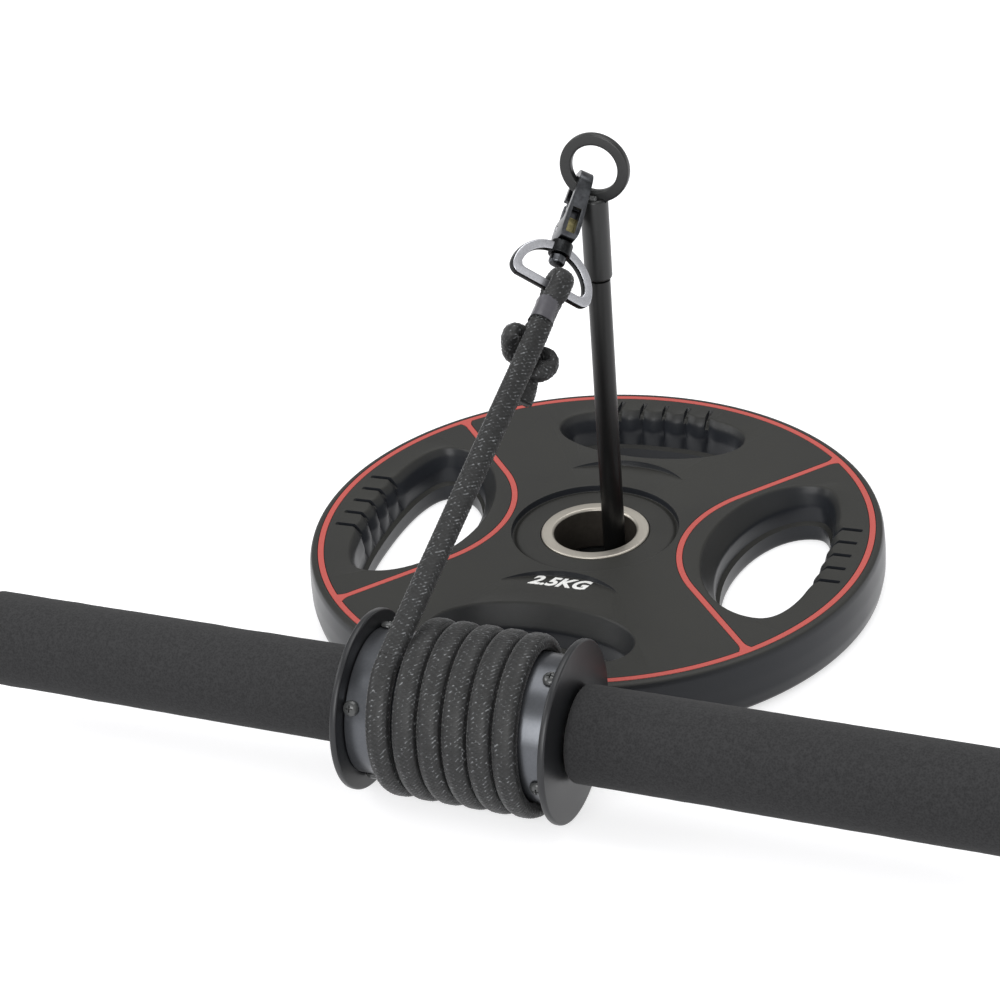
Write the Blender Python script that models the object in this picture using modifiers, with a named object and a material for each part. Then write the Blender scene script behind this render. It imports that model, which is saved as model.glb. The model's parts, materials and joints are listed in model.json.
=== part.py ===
"""Wrist trainer: a foam-gripped roller with a rope drum, a swivel snap hook and a grip plate on a pin.

Metres, +Z up. The origin is the centre of the loading pin's underside, on the floor. +X runs along the
roller's bar, and the roller lies at -Y of the plate. The rope runs from the front of the drum up to the D
ring, whose snap hook is clipped to the pin's eye ring.
"""

from math import acos, atan2, ceil, cos, hypot, pi, radians, sin

import bmesh
import bpy
from mathutils import Matrix, Vector

MM = 0.001
FIT = 0.3 * MM
MERGE = 0.01 * MM

# Loading pin, standing at the origin
BASE_DISC_RADIUS = 24.5 * MM
BASE_DISC_THICKNESS = 4.0 * MM
BASE_DISC_CHAMFER = 0.6 * MM
ROD_RADIUS = 4.0 * MM
ROD_SEAT_DEPTH = 2.2 * MM
WELD_LEG = 2.2 * MM
SLEEVE_RADIUS = 5.0 * MM
SLEEVE_BOTTOM = 126.0 * MM
SLEEVE_TOP = 157.0 * MM
SLEEVE_CHAMFER = 0.6 * MM
SLEEVE_PLUG = 7.0 * MM
EYE_OUTER_RADIUS = 12.8 * MM
EYE_INNER_RADIUS = 8.6 * MM
EYE_THICKNESS = 3.0 * MM
EYE_EDGE = 0.5 * MM
EYE_SEAT = 1.5 * MM
EYE_OFFSET = 1.0 * MM
EYE_WELD = (2.6 * MM, 1.2 * MM, 1.2 * MM)

# Weight plate, lying flat on the floor round the pin
PLATE_CENTRE = Vector((-6.4 * MM, -2.8 * MM, 0.0))
PLATE_TURN = radians(2.2)
PLATE_TOP = 22.6 * MM
PLATE_RIM_RADIUS = 108.4 * MM
PLATE_TOP_EDGE = 2.4 * MM
PLATE_FOOT_EDGE = 3.4 * MM
PLATE_SEGMENTS = 56
TOP_RECESS_RADIUS = 31.5 * MM
TOP_RECESS_DEPTH = 1.8 * MM
FOOT_RECESS_RADIUS = 32.2 * MM
FOOT_RECESS_DEPTH = BASE_DISC_THICKNESS + FIT
BUSH_BORE_RADIUS = 15.6 * MM
BUSH_WALL = 4.8 * MM
BUSH_CHAMFER = 1.8 * MM
BUSH_PROUD = 0.6 * MM
TRIM_INSET = 2.4 * MM
TRIM_WIDTH = 2.3 * MM
TRIM_DEPTH = 0.9 * MM
TRIM_ARC_RADIUS = 52.0 * MM
TRIM_ARC_INNER = 35.0 * MM
TRIM_ARC_SWEEP = radians(40.0)
POCKET_RADIUS = 30.0 * MM
POCKET_DEPTH = 1.5 * MM
POCKET_LENGTH = 10.0 * MM
POCKET_FAR_EDGE = (-36.0 * MM, 50.5 * MM)
CORE_WALL = 8.4 * MM
CORE_FLOOR = 3.4 * MM
CORE_ROOF = 3.4 * MM
CORE_MARGIN = 3.2 * MM
CORE_SEGMENTS = 28
CORE_GRIP_SEGMENTS = 16

# Hand grips of the plate, from the underside to the top: height, the inner wall's distance from the plate's
# centre, the handle's width from the outer wall to the rim, and half the length
GRIP_CORNER = 2.3
GRIP_POINTS = 26
SIDE_GRIP = (
    (-1.0 * MM, 47.6 * MM, 21.0 * MM, 46.6 * MM),
    (14.5 * MM, 47.2 * MM, 21.6 * MM, 46.2 * MM),
    (19.8 * MM, 42.4 * MM, 20.4 * MM, 47.8 * MM),
    (23.6 * MM, 39.2 * MM, 17.4 * MM, 49.6 * MM),
)
END_GRIP = (
    (-1.0 * MM, 60.0 * MM, 18.2 * MM, 35.2 * MM),
    (14.5 * MM, 59.6 * MM, 18.8 * MM, 35.0 * MM),
    (19.8 * MM, 55.2 * MM, 17.6 * MM, 36.8 * MM),
    (23.6 * MM, 52.0 * MM, 14.6 * MM, 38.6 * MM),
)
FINGER_SLOTS = 5
FINGER_SLOT_STEP = 9.2 * MM
FINGER_SLOT_WIDTH = 1.5 * MM
FINGER_SLOT_DEPTH = 2.6 * MM
FINGER_SLOT_TO_RIM = 10.1 * MM
FINGER_GROOVE_DEPTH = 0.9 * MM

# Roller, lying on its flanges in front of the plate
ROLLER_GAP = 1.0 * MM
LIFT_CLEAR = 0.35 * MM
FLANGE_RADIUS = 31.0 * MM
FLANGE_THICKNESS = 2.4 * MM
FLANGE_SPACING = 73.0 * MM
DRUM_RADIUS = 24.8 * MM
DRUM_WALL = 2.0 * MM
HUB_WALL = 3.0 * MM
HUB_DEPTH = 4.3 * MM
BAR_RADIUS = 11.0 * MM
BAR_WALL = 1.5 * MM
BAR_LENGTH = 366.0 * MM
FOAM_RADIUS = 16.6 * MM
PLUG_HEAD = 1.5 * MM
FOAM_EDGE = 2.4 * MM
FOAM_FLANGE_GAP = 0.8 * MM
PLUG_DEPTH = 12.0 * MM
SCREW_FIRST_ANGLE = {"left": radians(153.0), "right": radians(105.0)}
SCREW_HEAD_RADIUS = 2.4 * MM
SCREW_HEAD_HEIGHT = 1.6 * MM
SCREW_SHANK_RADIUS = 1.2 * MM
SCREW_LENGTH = 4.6 * MM
SCREW_FLANGE_GAP = 0.3 * MM

# Rope: a braided rope pressed to an oval
ROPE_WIDTH = 8.0 * MM
ROPE_THICKNESS = 5.4 * MM
ROPE_SIDES = 8
WINDING_START = -22.6 * MM
WINDING_PITCH = 8.75 * MM
WINDING_LEAD = 0.9 * MM
WINDING_TURNS = 5.42
WINDING_STEPS = 24
DIVE_SWEEP = radians(40.0)
DIVE_DEPTH = 6.0 * MM
TAIL_LENGTH = 23.6 * MM
KNOT_DROP = 5.2 * MM
KNOT_BAND = 9.0 * MM
KNOT_THICKNESS = 7.2 * MM
KNOT_GAP = 0.8 * MM
KNOT_SWEEP = radians(225.0)
KNOT_RISE = 2.0 * MM
KNOT_SIDE_SHIFT = 2.5 * MM
TAIL_SIDE_SHIFT = 5.2 * MM

# Chain of fittings, by the distance down from the eye ring's band
RING_CONTACT_ANGLE = radians(-125.5)
CHAIN_LEAN = 15.0 * MM
HOOK_TURN = radians(-5.0)
BOW_INNER_RADIUS = 4.0 * MM
BOW_WALL = 2.4 * MM
BOW_HALF_WIDTH = 2.0 * MM
HOOK_HALF_WIDTH = 4.2 * MM
HOOK_BOTTOM = 22.4 * MM
HOOK_SLOT_TOP = 14.2 * MM
HOOK_SLOT_BOTTOM = 19.8 * MM
HOOK_FRONT = 4.8 * MM
BOW_TIP = 4.0 * MM
WINDOW_HALF_WIDTH = 1.6 * MM
WINDOW_TOP = 5.6 * MM
GATE_HALF_WIDTH = 1.6 * MM
GATE_PIVOT = (1.7 * MM, 17.4 * MM)
GATE_BOSS_RADIUS = 2.0 * MM
GATE_PAD = 7.4 * MM
GATE_PIN_RADIUS = 0.8 * MM
SWIVEL_TURN = radians(47.0)
BOSS_RADIUS = 4.0 * MM
BOSS_PROUD = 0.8 * MM
RIVET_RADIUS = 1.8 * MM
RIVET_HEAD_RADIUS = 2.8 * MM
RIVET_HEAD_HEIGHT = 2.4 * MM
D_CROWN_GAP = 1.25 * MM
D_WIDTH = 33.0 * MM
D_HEIGHT = 18.2 * MM
D_BAND = 3.3 * MM
D_THICKNESS = 3.0 * MM
D_CORNER = 3.6 * MM
FERRULE_DROP = 5.2 * MM
FERRULE_LENGTH = 6.8 * MM
FERRULE_WALL = 0.6 * MM
STRAND_GAP = 0.5 * MM

# Places that follow from the sizes
PLATE_FACE_RADIUS = PLATE_RIM_RADIUS - PLATE_TOP_EDGE
PLATE_FOOT_RADIUS = PLATE_RIM_RADIUS - PLATE_FOOT_EDGE
TRIM_RADIUS = PLATE_FACE_RADIUS - TRIM_INSET
CORE_OUTER_RADIUS = PLATE_RIM_RADIUS - CORE_WALL
FINGER_SLOT_END = PLATE_RIM_RADIUS - FINGER_SLOT_TO_RIM
FOAM_END = BAR_LENGTH / 2 + PLUG_HEAD
EYE_CENTRE = Vector((EYE_OFFSET, 0.0, SLEEVE_TOP - EYE_SEAT + EYE_OUTER_RADIUS))
ROPE_WINDING_RADIUS = DRUM_RADIUS + FIT + ROPE_THICKNESS / 2
ROLLER_REACH = max(ROPE_WINDING_RADIUS + ROPE_THICKNESS / 2, DRUM_RADIUS)
PLATE_RIM = (
    (PLATE_FACE_RADIUS, PLATE_TOP),
    (PLATE_FACE_RADIUS + 1.2 * MM, PLATE_TOP - 0.5 * MM),
    (PLATE_RIM_RADIUS - 0.5 * MM, PLATE_TOP - 2.4 * MM),
    (PLATE_RIM_RADIUS, PLATE_TOP * 0.6),
    (PLATE_RIM_RADIUS, PLATE_TOP * 0.3),
    (PLATE_RIM_RADIUS - 1.0 * MM, 2.0 * MM),
    (PLATE_FOOT_RADIUS, 0.0),
)
ROLLER_CLEAR = ROLLER_REACH + ROLLER_GAP
ROLLER_STAND_OFF = max(
    radius + max(0.0, ROLLER_CLEAR**2 - (FLANGE_RADIUS - height) ** 2) ** 0.5 for radius, height in PLATE_RIM
)
ROLLER_STAND_OFF = max(ROLLER_STAND_OFF, PLATE_RIM_RADIUS + ROLLER_REACH + LIFT_CLEAR)
ROLLER_CENTRE = Vector((0.0, PLATE_CENTRE.y - ROLLER_STAND_OFF, FLANGE_RADIUS))
FLANGE_INNER_FACE = FLANGE_SPACING / 2 - FLANGE_THICKNESS / 2
SCREW_PLACE = FLANGE_INNER_FACE - SCREW_FLANGE_GAP - SCREW_HEAD_RADIUS
EYE_BAND_RADIUS = (EYE_OUTER_RADIUS + EYE_INNER_RADIUS) / 2
BUSH_OUTER_RADIUS = BUSH_BORE_RADIUS + BUSH_WALL
D_BAR = HOOK_BOTTOM + D_CROWN_GAP + D_HEIGHT - D_BAND / 2
FERRULE_TOP = D_BAR + FERRULE_DROP
FERRULE_BOTTOM = FERRULE_TOP + FERRULE_LENGTH
KNOT_TOP = FERRULE_BOTTOM + KNOT_DROP
TAIL_END = KNOT_TOP + TAIL_LENGTH
BOSS_TOP = HOOK_BOTTOM + FIT
BOSS_BOTTOM = D_BAR + D_BAND / 2 - D_HEIGHT + D_BAND + BOSS_PROUD

for item in list(bpy.data.objects):
    bpy.data.objects.remove(item, do_unlink=True)
PARTS = bpy.data.collections.new("wrist_trainer")
TOOLS = bpy.data.collections.new("cutters_and_guides")
for group in (PARTS, TOOLS):
    bpy.context.scene.collection.children.link(group)


def material(name, colour, roughness, metallic=0.0):
    """A Principled material of that linear colour."""
    made = bpy.data.materials.new(name)
    made.use_nodes = True
    shader = made.node_tree.nodes["Principled BSDF"]
    shader.inputs["Base Color"].default_value = (*colour, 1.0)
    shader.inputs["Roughness"].default_value = roughness
    shader.inputs["Metallic"].default_value = metallic
    made.diffuse_color = (*colour, 1.0)
    return made


COATED_STEEL = material("powder_coated_steel", (0.024, 0.025, 0.026), 0.42)
BRIGHT_STEEL = material("machined_steel", (0.42, 0.39, 0.34), 0.35, 1.0)
PLATE_RUBBER = material("plate_rubber", (0.045, 0.045, 0.045), 0.6)
CAST_IRON = material("cast_iron", (0.12, 0.12, 0.12), 0.7, 0.6)
RED_RUBBER = material("red_trim", (0.78, 0.09, 0.08), 0.5)
SATIN_BLACK = material("satin_black_metal", (0.02, 0.021, 0.024), 0.3, 0.4)
FOAM = material("foam", (0.03, 0.03, 0.031), 0.95)
BLACK_PLASTIC = material("black_plastic", (0.02, 0.02, 0.02), 0.5)
ROPE_BRAID = material("black_braid", (0.018, 0.018, 0.019), 0.85)
SHRINK_SLEEVE = material("shrink_sleeve", (0.10, 0.10, 0.11), 0.45)
SATIN_NICKEL = material("satin_nickel", (0.42, 0.42, 0.45), 0.3, 1.0)
BLACK_NICKEL = material("black_nickel", (0.05, 0.05, 0.052), 0.28, 0.9)
SPRING_WIRE = material("spring_brass", (0.45, 0.36, 0.2), 0.35, 1.0)


def place(obj, parent=None, location=(0.0, 0.0, 0.0), turn=None, group=PARTS):
    """Puts an object in its collection, under its parent."""
    group.objects.link(obj)
    obj.parent = parent
    obj.location = location
    if turn:
        obj.rotation_euler = turn
    return obj


def piece(name, mesh, finish, **where):
    """A sub-part: a mesh with its material, smooth but for its sharp edges."""
    mesh.materials.clear()
    mesh.materials.append(finish)
    mesh.shade_smooth()
    mesh.set_sharp_from_angle(angle=radians(35))
    return place(bpy.data.objects.new(name, mesh), **where)


def guide(name, mesh, **where):
    """A cutter, which the build leaves out."""
    obj = place(bpy.data.objects.new(name, mesh), group=TOOLS, **where)
    obj.hide_render = True
    obj.display_type = "WIRE"
    return obj


def frame_at(name, origin, x_axis, z_axis):
    """An empty whose +Z is z_axis and whose +X lies as near x_axis as it can."""
    up = z_axis.normalized()
    across = (x_axis - up * x_axis.dot(up)).normalized()
    obj = place(bpy.data.objects.new(name, None), group=TOOLS)
    axes = Matrix((across, up.cross(across), up)).transposed()
    obj.matrix_world = Matrix.Translation(origin) @ axes.to_4x4()
    obj.hide_render = True
    return obj


def mesh_of(bm, name="mesh"):
    """Closes a bmesh's work and returns its mesh, faces pointing out."""
    bmesh.ops.recalc_face_normals(bm, faces=bm.faces)
    mesh = bpy.data.meshes.new(name)
    bm.to_mesh(mesh)
    bm.free()
    return mesh


def baked(obj):
    """The evaluated mesh of an object, which is then removed."""
    depsgraph = bpy.context.evaluated_depsgraph_get()
    mesh = bpy.data.meshes.new_from_object(obj.evaluated_get(depsgraph))
    bpy.data.objects.remove(obj, do_unlink=True)
    return mesh


def turned(profile, segments):
    """A solid of revolution about Z. The profile is (radius, height) points, and closes off the axis."""
    bm = bmesh.new()
    points = [bm.verts.new((radius, 0.0, height)) for radius, height in profile]
    for first, second in zip(points, points[1:]):
        bm.edges.new((first, second))
    if min(profile[0][0], profile[-1][0]) > 0:
        bm.edges.new((points[-1], points[0]))
    mesh = bpy.data.meshes.new("profile")
    bm.to_mesh(mesh)
    bm.free()
    obj = place(bpy.data.objects.new("profile", mesh), group=TOOLS)
    screw = obj.modifiers.new("Screw", "SCREW")
    screw.steps = segments
    screw.render_steps = segments
    screw.use_merge_vertices = True
    screw.merge_threshold = MERGE
    mesh = baked(obj)
    bm = bmesh.new()
    bm.from_mesh(mesh)
    bmesh.ops.remove_doubles(bm, verts=bm.verts, dist=MERGE)
    return mesh_of(bm, "turned")


def ring_profile(inner, outer, low, high, edge=0.0):
    """A ring's section with its outer corners cut by edge."""
    if not edge:
        return [(inner, high), (outer, high), (outer, low), (inner, low)]
    return [
        (inner, high),
        (outer - edge, high),
        (outer, high - edge),
        (outer, low + edge),
        (outer - edge, low),
        (inner, low),
    ]


def cylinder(radius, low, high, segments=24):
    """A cylinder about Z between two heights."""
    bm = bmesh.new()
    bmesh.ops.create_cone(
        bm,
        cap_ends=True,
        segments=segments,
        radius1=radius,
        radius2=radius,
        depth=high - low,
        matrix=Matrix.Translation((0, 0, (low + high) / 2)),
    )
    return mesh_of(bm, "cylinder")


def block(low, high):
    """A box between two corners."""
    bm = bmesh.new()
    size = Vector(high) - Vector(low)
    middle = (Vector(high) + Vector(low)) / 2
    spot = Matrix.Translation(middle) @ Matrix.Diagonal((*size, 1.0))
    bmesh.ops.create_cube(bm, size=1.0, matrix=spot)
    return mesh_of(bm, "block")


def merged(meshes):
    """Several meshes as one, for a cutter with several blades."""
    bm = bmesh.new()
    for mesh in meshes:
        bm.from_mesh(mesh)
    return mesh_of(bm, "merged")


def plate_of(outlines, half_thickness, axis="X", edge=0.0):
    """A flat piece from closed outlines that lie across the axis given: a filled, extruded 2D curve."""
    data = bpy.data.curves.new("outline", "CURVE")
    data.dimensions = "2D"
    data.fill_mode = "BOTH"
    data.extrude = half_thickness - edge
    data.bevel_depth = edge
    data.bevel_resolution = 0
    for outline in outlines:
        spline = data.splines.new("POLY")
        spline.points.add(len(outline) - 1)
        for point, (across, up) in zip(spline.points, outline):
            point.co = (across, up, 0.0, 1.0)
        spline.use_cyclic_u = True
    mesh = baked(place(bpy.data.objects.new("outline", data), group=TOOLS))
    bm = bmesh.new()
    bm.from_mesh(mesh)
    bmesh.ops.remove_doubles(bm, verts=bm.verts, dist=MERGE)
    stand = {
        "X": Matrix(((0, 0, 1), (1, 0, 0), (0, 1, 0))),
        "Y": Matrix(((1, 0, 0), (0, 0, -1), (0, 1, 0))),
        "Z": Matrix.Identity(3),
    }[axis]
    bmesh.ops.transform(bm, matrix=stand.to_4x4(), verts=bm.verts)
    return mesh_of(bm, "plate")


def loft(rings):
    """A solid through rings of points, with flat ends."""
    bm = bmesh.new()
    loops = []
    for ring in rings:
        verts = [bm.verts.new(point) for point in ring]
        loops.append([bm.edges.new((verts[i - 1], verts[i])) for i in range(len(verts))])
    for first, second in zip(loops, loops[1:]):
        bmesh.ops.bridge_loops(bm, edges=first + second)
    for loop in (loops[0], loops[-1]):
        bmesh.ops.contextual_create(bm, geom=loop)
    return mesh_of(bm, "loft")


def arc(centre, radius, start, end, steps):
    """Points of an arc in a plane."""
    angles = [start + (end - start) * i / steps for i in range(steps + 1)]
    return [(centre[0] + radius * cos(a), centre[1] + radius * sin(a)) for a in angles]


def cut(obj, cutter, operation="DIFFERENCE"):
    """A Boolean modifier with the exact solver."""
    boolean = obj.modifiers.new(operation.title(), "BOOLEAN")
    boolean.operation = operation
    boolean.object = cutter
    boolean.solver = "EXACT"
    return obj


# Loading pin


def make_pin():
    rod_foot = BASE_DISC_THICKNESS - ROD_SEAT_DEPTH
    disc = [
        (0.0, rod_foot - FIT),
        (ROD_RADIUS + FIT, rod_foot - FIT),
        (ROD_RADIUS + FIT, BASE_DISC_THICKNESS),
        (BASE_DISC_RADIUS - BASE_DISC_CHAMFER, BASE_DISC_THICKNESS),
        (BASE_DISC_RADIUS, BASE_DISC_THICKNESS - BASE_DISC_CHAMFER),
        (BASE_DISC_RADIUS, BASE_DISC_CHAMFER),
        (BASE_DISC_RADIUS - BASE_DISC_CHAMFER, 0.0),
        (0.0, 0.0),
    ]
    piece("base_disc", turned(disc, 40), COATED_STEEL)
    weld_low = BASE_DISC_THICKNESS + FIT
    weld_inner = ROD_RADIUS + FIT
    fillet = [(weld_inner, weld_low + WELD_LEG), (weld_inner + WELD_LEG, weld_low), (weld_inner, weld_low)]
    fillet.insert(1, (weld_inner + WELD_LEG * 0.4, weld_low + WELD_LEG * 0.4))
    piece("base_weld", turned(fillet, 24), COATED_STEEL)
    rod_top = SLEEVE_TOP - SLEEVE_PLUG
    piece("pin_rod", cylinder(ROD_RADIUS, rod_foot, rod_top - FIT, 24), COATED_STEEL)
    sleeve = [
        (0.0, SLEEVE_TOP),
        (SLEEVE_RADIUS - SLEEVE_CHAMFER, SLEEVE_TOP),
        (SLEEVE_RADIUS, SLEEVE_TOP - SLEEVE_CHAMFER),
        (SLEEVE_RADIUS, SLEEVE_BOTTOM + SLEEVE_CHAMFER),
        (SLEEVE_RADIUS - SLEEVE_CHAMFER / 2, SLEEVE_BOTTOM),
        (ROD_RADIUS + FIT, SLEEVE_BOTTOM),
        (ROD_RADIUS + FIT, rod_top),
        (0.0, rod_top),
    ]
    pin_sleeve = piece("pin_sleeve", turned(sleeve, 32), COATED_STEEL)
    upright = (radians(90.0), 0.0, 0.0)
    half = EYE_THICKNESS / 2
    eye = [
        (EYE_INNER_RADIUS, half - EYE_EDGE),
        (EYE_INNER_RADIUS + EYE_EDGE, half),
        (EYE_OUTER_RADIUS - EYE_EDGE, half),
        (EYE_OUTER_RADIUS, half - EYE_EDGE),
        (EYE_OUTER_RADIUS, EYE_EDGE - half),
        (EYE_OUTER_RADIUS - EYE_EDGE, -half),
        (EYE_INNER_RADIUS + EYE_EDGE, -half),
        (EYE_INNER_RADIUS, EYE_EDGE - half),
    ]
    piece("eye_ring", turned(eye, 40), COATED_STEEL, location=EYE_CENTRE, turn=upright)
    seat = cylinder(EYE_OUTER_RADIUS + FIT, -half - FIT, half + FIT, 48)
    cut(pin_sleeve, guide("eye_seat", seat, location=EYE_CENTRE, turn=upright))
    for side, name in ((-1, "eye_weld_front"), (1, "eye_weld_rear")):
        bm = bmesh.new()
        bmesh.ops.create_uvsphere(bm, u_segments=12, v_segments=6, radius=1.0)
        bmesh.ops.scale(bm, vec=EYE_WELD, verts=bm.verts)
        spot = (0.0, side * (half + FIT + EYE_WELD[1]), SLEEVE_TOP + FIT)
        bead = piece(name, mesh_of(bm), COATED_STEEL, location=spot)
        reach = 2 * SLEEVE_RADIUS
        floor = block((-reach, -reach, SLEEVE_TOP - reach), (reach, reach, SLEEVE_TOP + FIT))
        cut(bead, guide(name + "_floor", floor))


# Weight plate


def grip_outline(inner, outer, half_length, grow=0.0, count=GRIP_POINTS):
    """A rounded long hole, as points round it."""
    middle = (inner + outer) / 2
    across = (outer - inner) / 2 + grow
    along = half_length + grow
    points = []
    for i in range(count):
        a = 2 * pi * i / count
        x = abs(cos(a)) ** (2 / GRIP_CORNER) * (1 if cos(a) >= 0 else -1)
        y = abs(sin(a)) ** (2 / GRIP_CORNER) * (1 if sin(a) >= 0 else -1)
        points.append((middle + across * x, along * y))
    return points


def grip_directions():
    """The four grips' turns about the plate's centre, each with its sections, walls from the centre."""
    grips = []
    for i in range(4):
        sections = [
            (height, inner, PLATE_RIM_RADIUS - handle, half_length)
            for height, inner, handle, half_length in (SIDE_GRIP, END_GRIP)[i % 2]
        ]
        grips.append((i * pi / 2, sections))
    return grips


def grip_cutter(sections, turn):
    """The hand hole, sloped where the fingers go in."""
    spin = Matrix.Rotation(turn, 3, "Z")
    rings = []
    for height, inner, outer, half_length in sections:
        rings.append([spin @ Vector((x, y, height)) for x, y in grip_outline(inner, outer, half_length)])
    return loft(rings)


def finger_slots(sections, turn):
    """Slots across the handle's top, each running on as a groove down its inner wall."""
    wall = sections[1][2]
    top_wall = sections[2][2]
    blades = []
    for i in range(FINGER_SLOTS):
        side = (i - (FINGER_SLOTS - 1) / 2) * FINGER_SLOT_STEP
        lean = side * side / (2 * wall) + FINGER_GROOVE_DEPTH
        low, high = side - FINGER_SLOT_WIDTH / 2, side + FINGER_SLOT_WIDTH / 2
        outline = [
            (wall - 3 * MM, -1 * MM),
            (wall - lean + 2 * FINGER_GROOVE_DEPTH, -1 * MM),
            (wall - lean + 2 * FINGER_GROOVE_DEPTH, PLATE_TOP - FINGER_SLOT_DEPTH),
            (FINGER_SLOT_END - 1.5 * MM, PLATE_TOP - FINGER_SLOT_DEPTH),
            (FINGER_SLOT_END, PLATE_TOP + 1 * MM),
            (min(top_wall, wall) - 3 * MM, PLATE_TOP + 1 * MM),
        ]
        blade = plate_of([outline], (high - low) / 2, axis="Y")
        blade.transform(Matrix.Translation((0, (low + high) / 2, 0)))
        blade.transform(Matrix.Rotation(turn, 4, "Z"))
        blades.append(blade)
    return blades


def core_shape(grow):
    """The casting inside the rubber, or with a growth the cavity that it fills."""
    low, high = CORE_FLOOR - grow, PLATE_TOP - CORE_ROOF + grow
    inner = BUSH_OUTER_RADIUS + FIT - grow * 2
    step = FOOT_RECESS_RADIUS + CORE_MARGIN - grow
    low_step = FOOT_RECESS_DEPTH + CORE_MARGIN - grow
    high_step = PLATE_TOP - TOP_RECESS_DEPTH - CORE_MARGIN + grow
    outer = CORE_OUTER_RADIUS + grow
    profile = [(inner, high_step), (step, high_step), (step, high), (outer, high)]
    profile += [(outer, low), (step, low), (step, low_step), (inner, low_step)]
    solid = bpy.data.objects.new("core_blank", turned(profile, CORE_SEGMENTS))
    place(solid, group=TOOLS)
    holes = []
    for turn, sections in grip_directions():
        below = sections[:-1]
        reach = (min(s[1] for s in below), max(s[2] for s in below), max(s[3] for s in below))
        outline = grip_outline(*reach, CORE_MARGIN - grow, CORE_GRIP_SEGMENTS)
        hole = plate_of([outline], PLATE_TOP, axis="Z")
        hole.transform(Matrix.Rotation(turn, 4, "Z"))
        holes.append(hole)
    cut(solid, guide("core_holes", merged(holes)))
    return baked(solid)


def trim_strip(width, side):
    """The line round a side grip, from rim to rim, as one flat outline."""
    outlines = []
    for offset in (width / 2, -width / 2):
        middle = (TRIM_ARC_INNER + TRIM_ARC_RADIUS, 0.0)
        radius = TRIM_ARC_RADIUS + offset
        bend = arc(middle, radius, pi - TRIM_ARC_SWEEP, pi + TRIM_ARC_SWEEP, 10)
        heading = pi / 2 - TRIM_ARC_SWEEP
        end = TRIM_RADIUS
        line = []
        for point, sign in ((bend[0], 1), (bend[-1], -1)):
            ux, uy = cos(heading), sign * sin(heading)
            along = point[0] * ux + point[1] * uy
            rest = end * end - point[0] ** 2 - point[1] ** 2
            length = -along + (along * along + rest) ** 0.5
            line.append((point[0] + ux * length, point[1] + uy * length))
        outlines.append([line[0]] + bend + [line[1]])
    outline = outlines[0] + outlines[1][::-1]
    return [(side * x, side * y) for x, y in outline]


def trim_shape(width, low, high):
    """The red line: a ring and two strips, joined."""
    band = ring_profile(TRIM_RADIUS - width / 2, TRIM_RADIUS + width / 2, low, high)
    ring = place(bpy.data.objects.new("trim_ring", turned(band, PLATE_SEGMENTS)), group=TOOLS)
    strips = []
    for side in (1, -1):
        strip = plate_of([trim_strip(width, side)], (high - low) / 2, axis="Z")
        strip.transform(Matrix.Translation((0, 0, (high + low) / 2)))
        strips.append(strip)
    cut(ring, guide("trim_strips", merged(strips)), "UNION")
    return baked(ring)


def pocket_cutter(far_edge):
    """A disc sunk on a slant, which leaves a shallow crescent."""
    disc = cylinder(POCKET_RADIUS, 0.0, 3 * POCKET_DEPTH + 6 * MM, 48)
    slant = atan2(POCKET_DEPTH, POCKET_LENGTH)
    disc.transform(Matrix.Translation((0, -POCKET_RADIUS, 0)))
    disc.transform(Matrix.Rotation(-slant, 4, "X"))
    disc.transform(Matrix.Translation((0, far_edge, PLATE_TOP - POCKET_DEPTH)))
    return disc


def make_weight_plate():
    centre = place(bpy.data.objects.new("plate_centre", None), group=TOOLS)
    centre.location = PLATE_CENTRE
    centre.rotation_euler = (0, 0, PLATE_TURN)
    centre.hide_render = True
    bush_low = FOOT_RECESS_DEPTH
    bush_high = PLATE_TOP - TOP_RECESS_DEPTH + BUSH_PROUD
    inner = BUSH_OUTER_RADIUS + FIT
    floor = PLATE_TOP - TOP_RECESS_DEPTH
    profile = [
        (inner, floor),
        (TOP_RECESS_RADIUS, floor),
        (TOP_RECESS_RADIUS + 0.5 * MM, PLATE_TOP),
        *PLATE_RIM,
        (FOOT_RECESS_RADIUS + 0.6 * MM, 0.0),
        (FOOT_RECESS_RADIUS, FOOT_RECESS_DEPTH),
        (inner, FOOT_RECESS_DEPTH),
    ]
    coat = piece("rubber_coat", turned(profile, PLATE_SEGMENTS), PLATE_RUBBER, parent=centre)
    pockets = merged([pocket_cutter(edge) for edge in POCKET_FAR_EDGE])
    cut(coat, guide("pockets", pockets, parent=centre))
    cut(coat, guide("core_cavity", core_shape(FIT), parent=centre))
    groove = trim_shape(TRIM_WIDTH + 2 * FIT, PLATE_TOP - TRIM_DEPTH - FIT, PLATE_TOP + 1 * MM)
    cut(coat, guide("trim_groove", groove, parent=centre))
    holes = [grip_cutter(sections, turn) for turn, sections in grip_directions()]
    cut(coat, guide("grip_holes", merged(holes), parent=centre))
    blades = []
    for turn, sections in grip_directions():
        blades += finger_slots(sections, turn)
    cut(coat, guide("finger_slots", merged(blades), parent=centre))
    piece("iron_core", core_shape(0.0), CAST_IRON, parent=centre)
    bush = [
        (BUSH_BORE_RADIUS, bush_high - BUSH_CHAMFER),
        (BUSH_BORE_RADIUS + BUSH_CHAMFER, bush_high),
        (BUSH_OUTER_RADIUS - 0.4 * MM, bush_high),
        (BUSH_OUTER_RADIUS, bush_high - 0.4 * MM),
        (BUSH_OUTER_RADIUS, bush_low),
        (BUSH_BORE_RADIUS + 0.6 * MM, bush_low),
        (BUSH_BORE_RADIUS, bush_low + 0.6 * MM),
    ]
    piece("hub_bush", turned(bush, 40), BRIGHT_STEEL, parent=centre)
    trim = trim_shape(TRIM_WIDTH, PLATE_TOP - TRIM_DEPTH, PLATE_TOP)
    piece("red_trim", trim, RED_RUBBER, parent=centre)


# Roller


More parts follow.
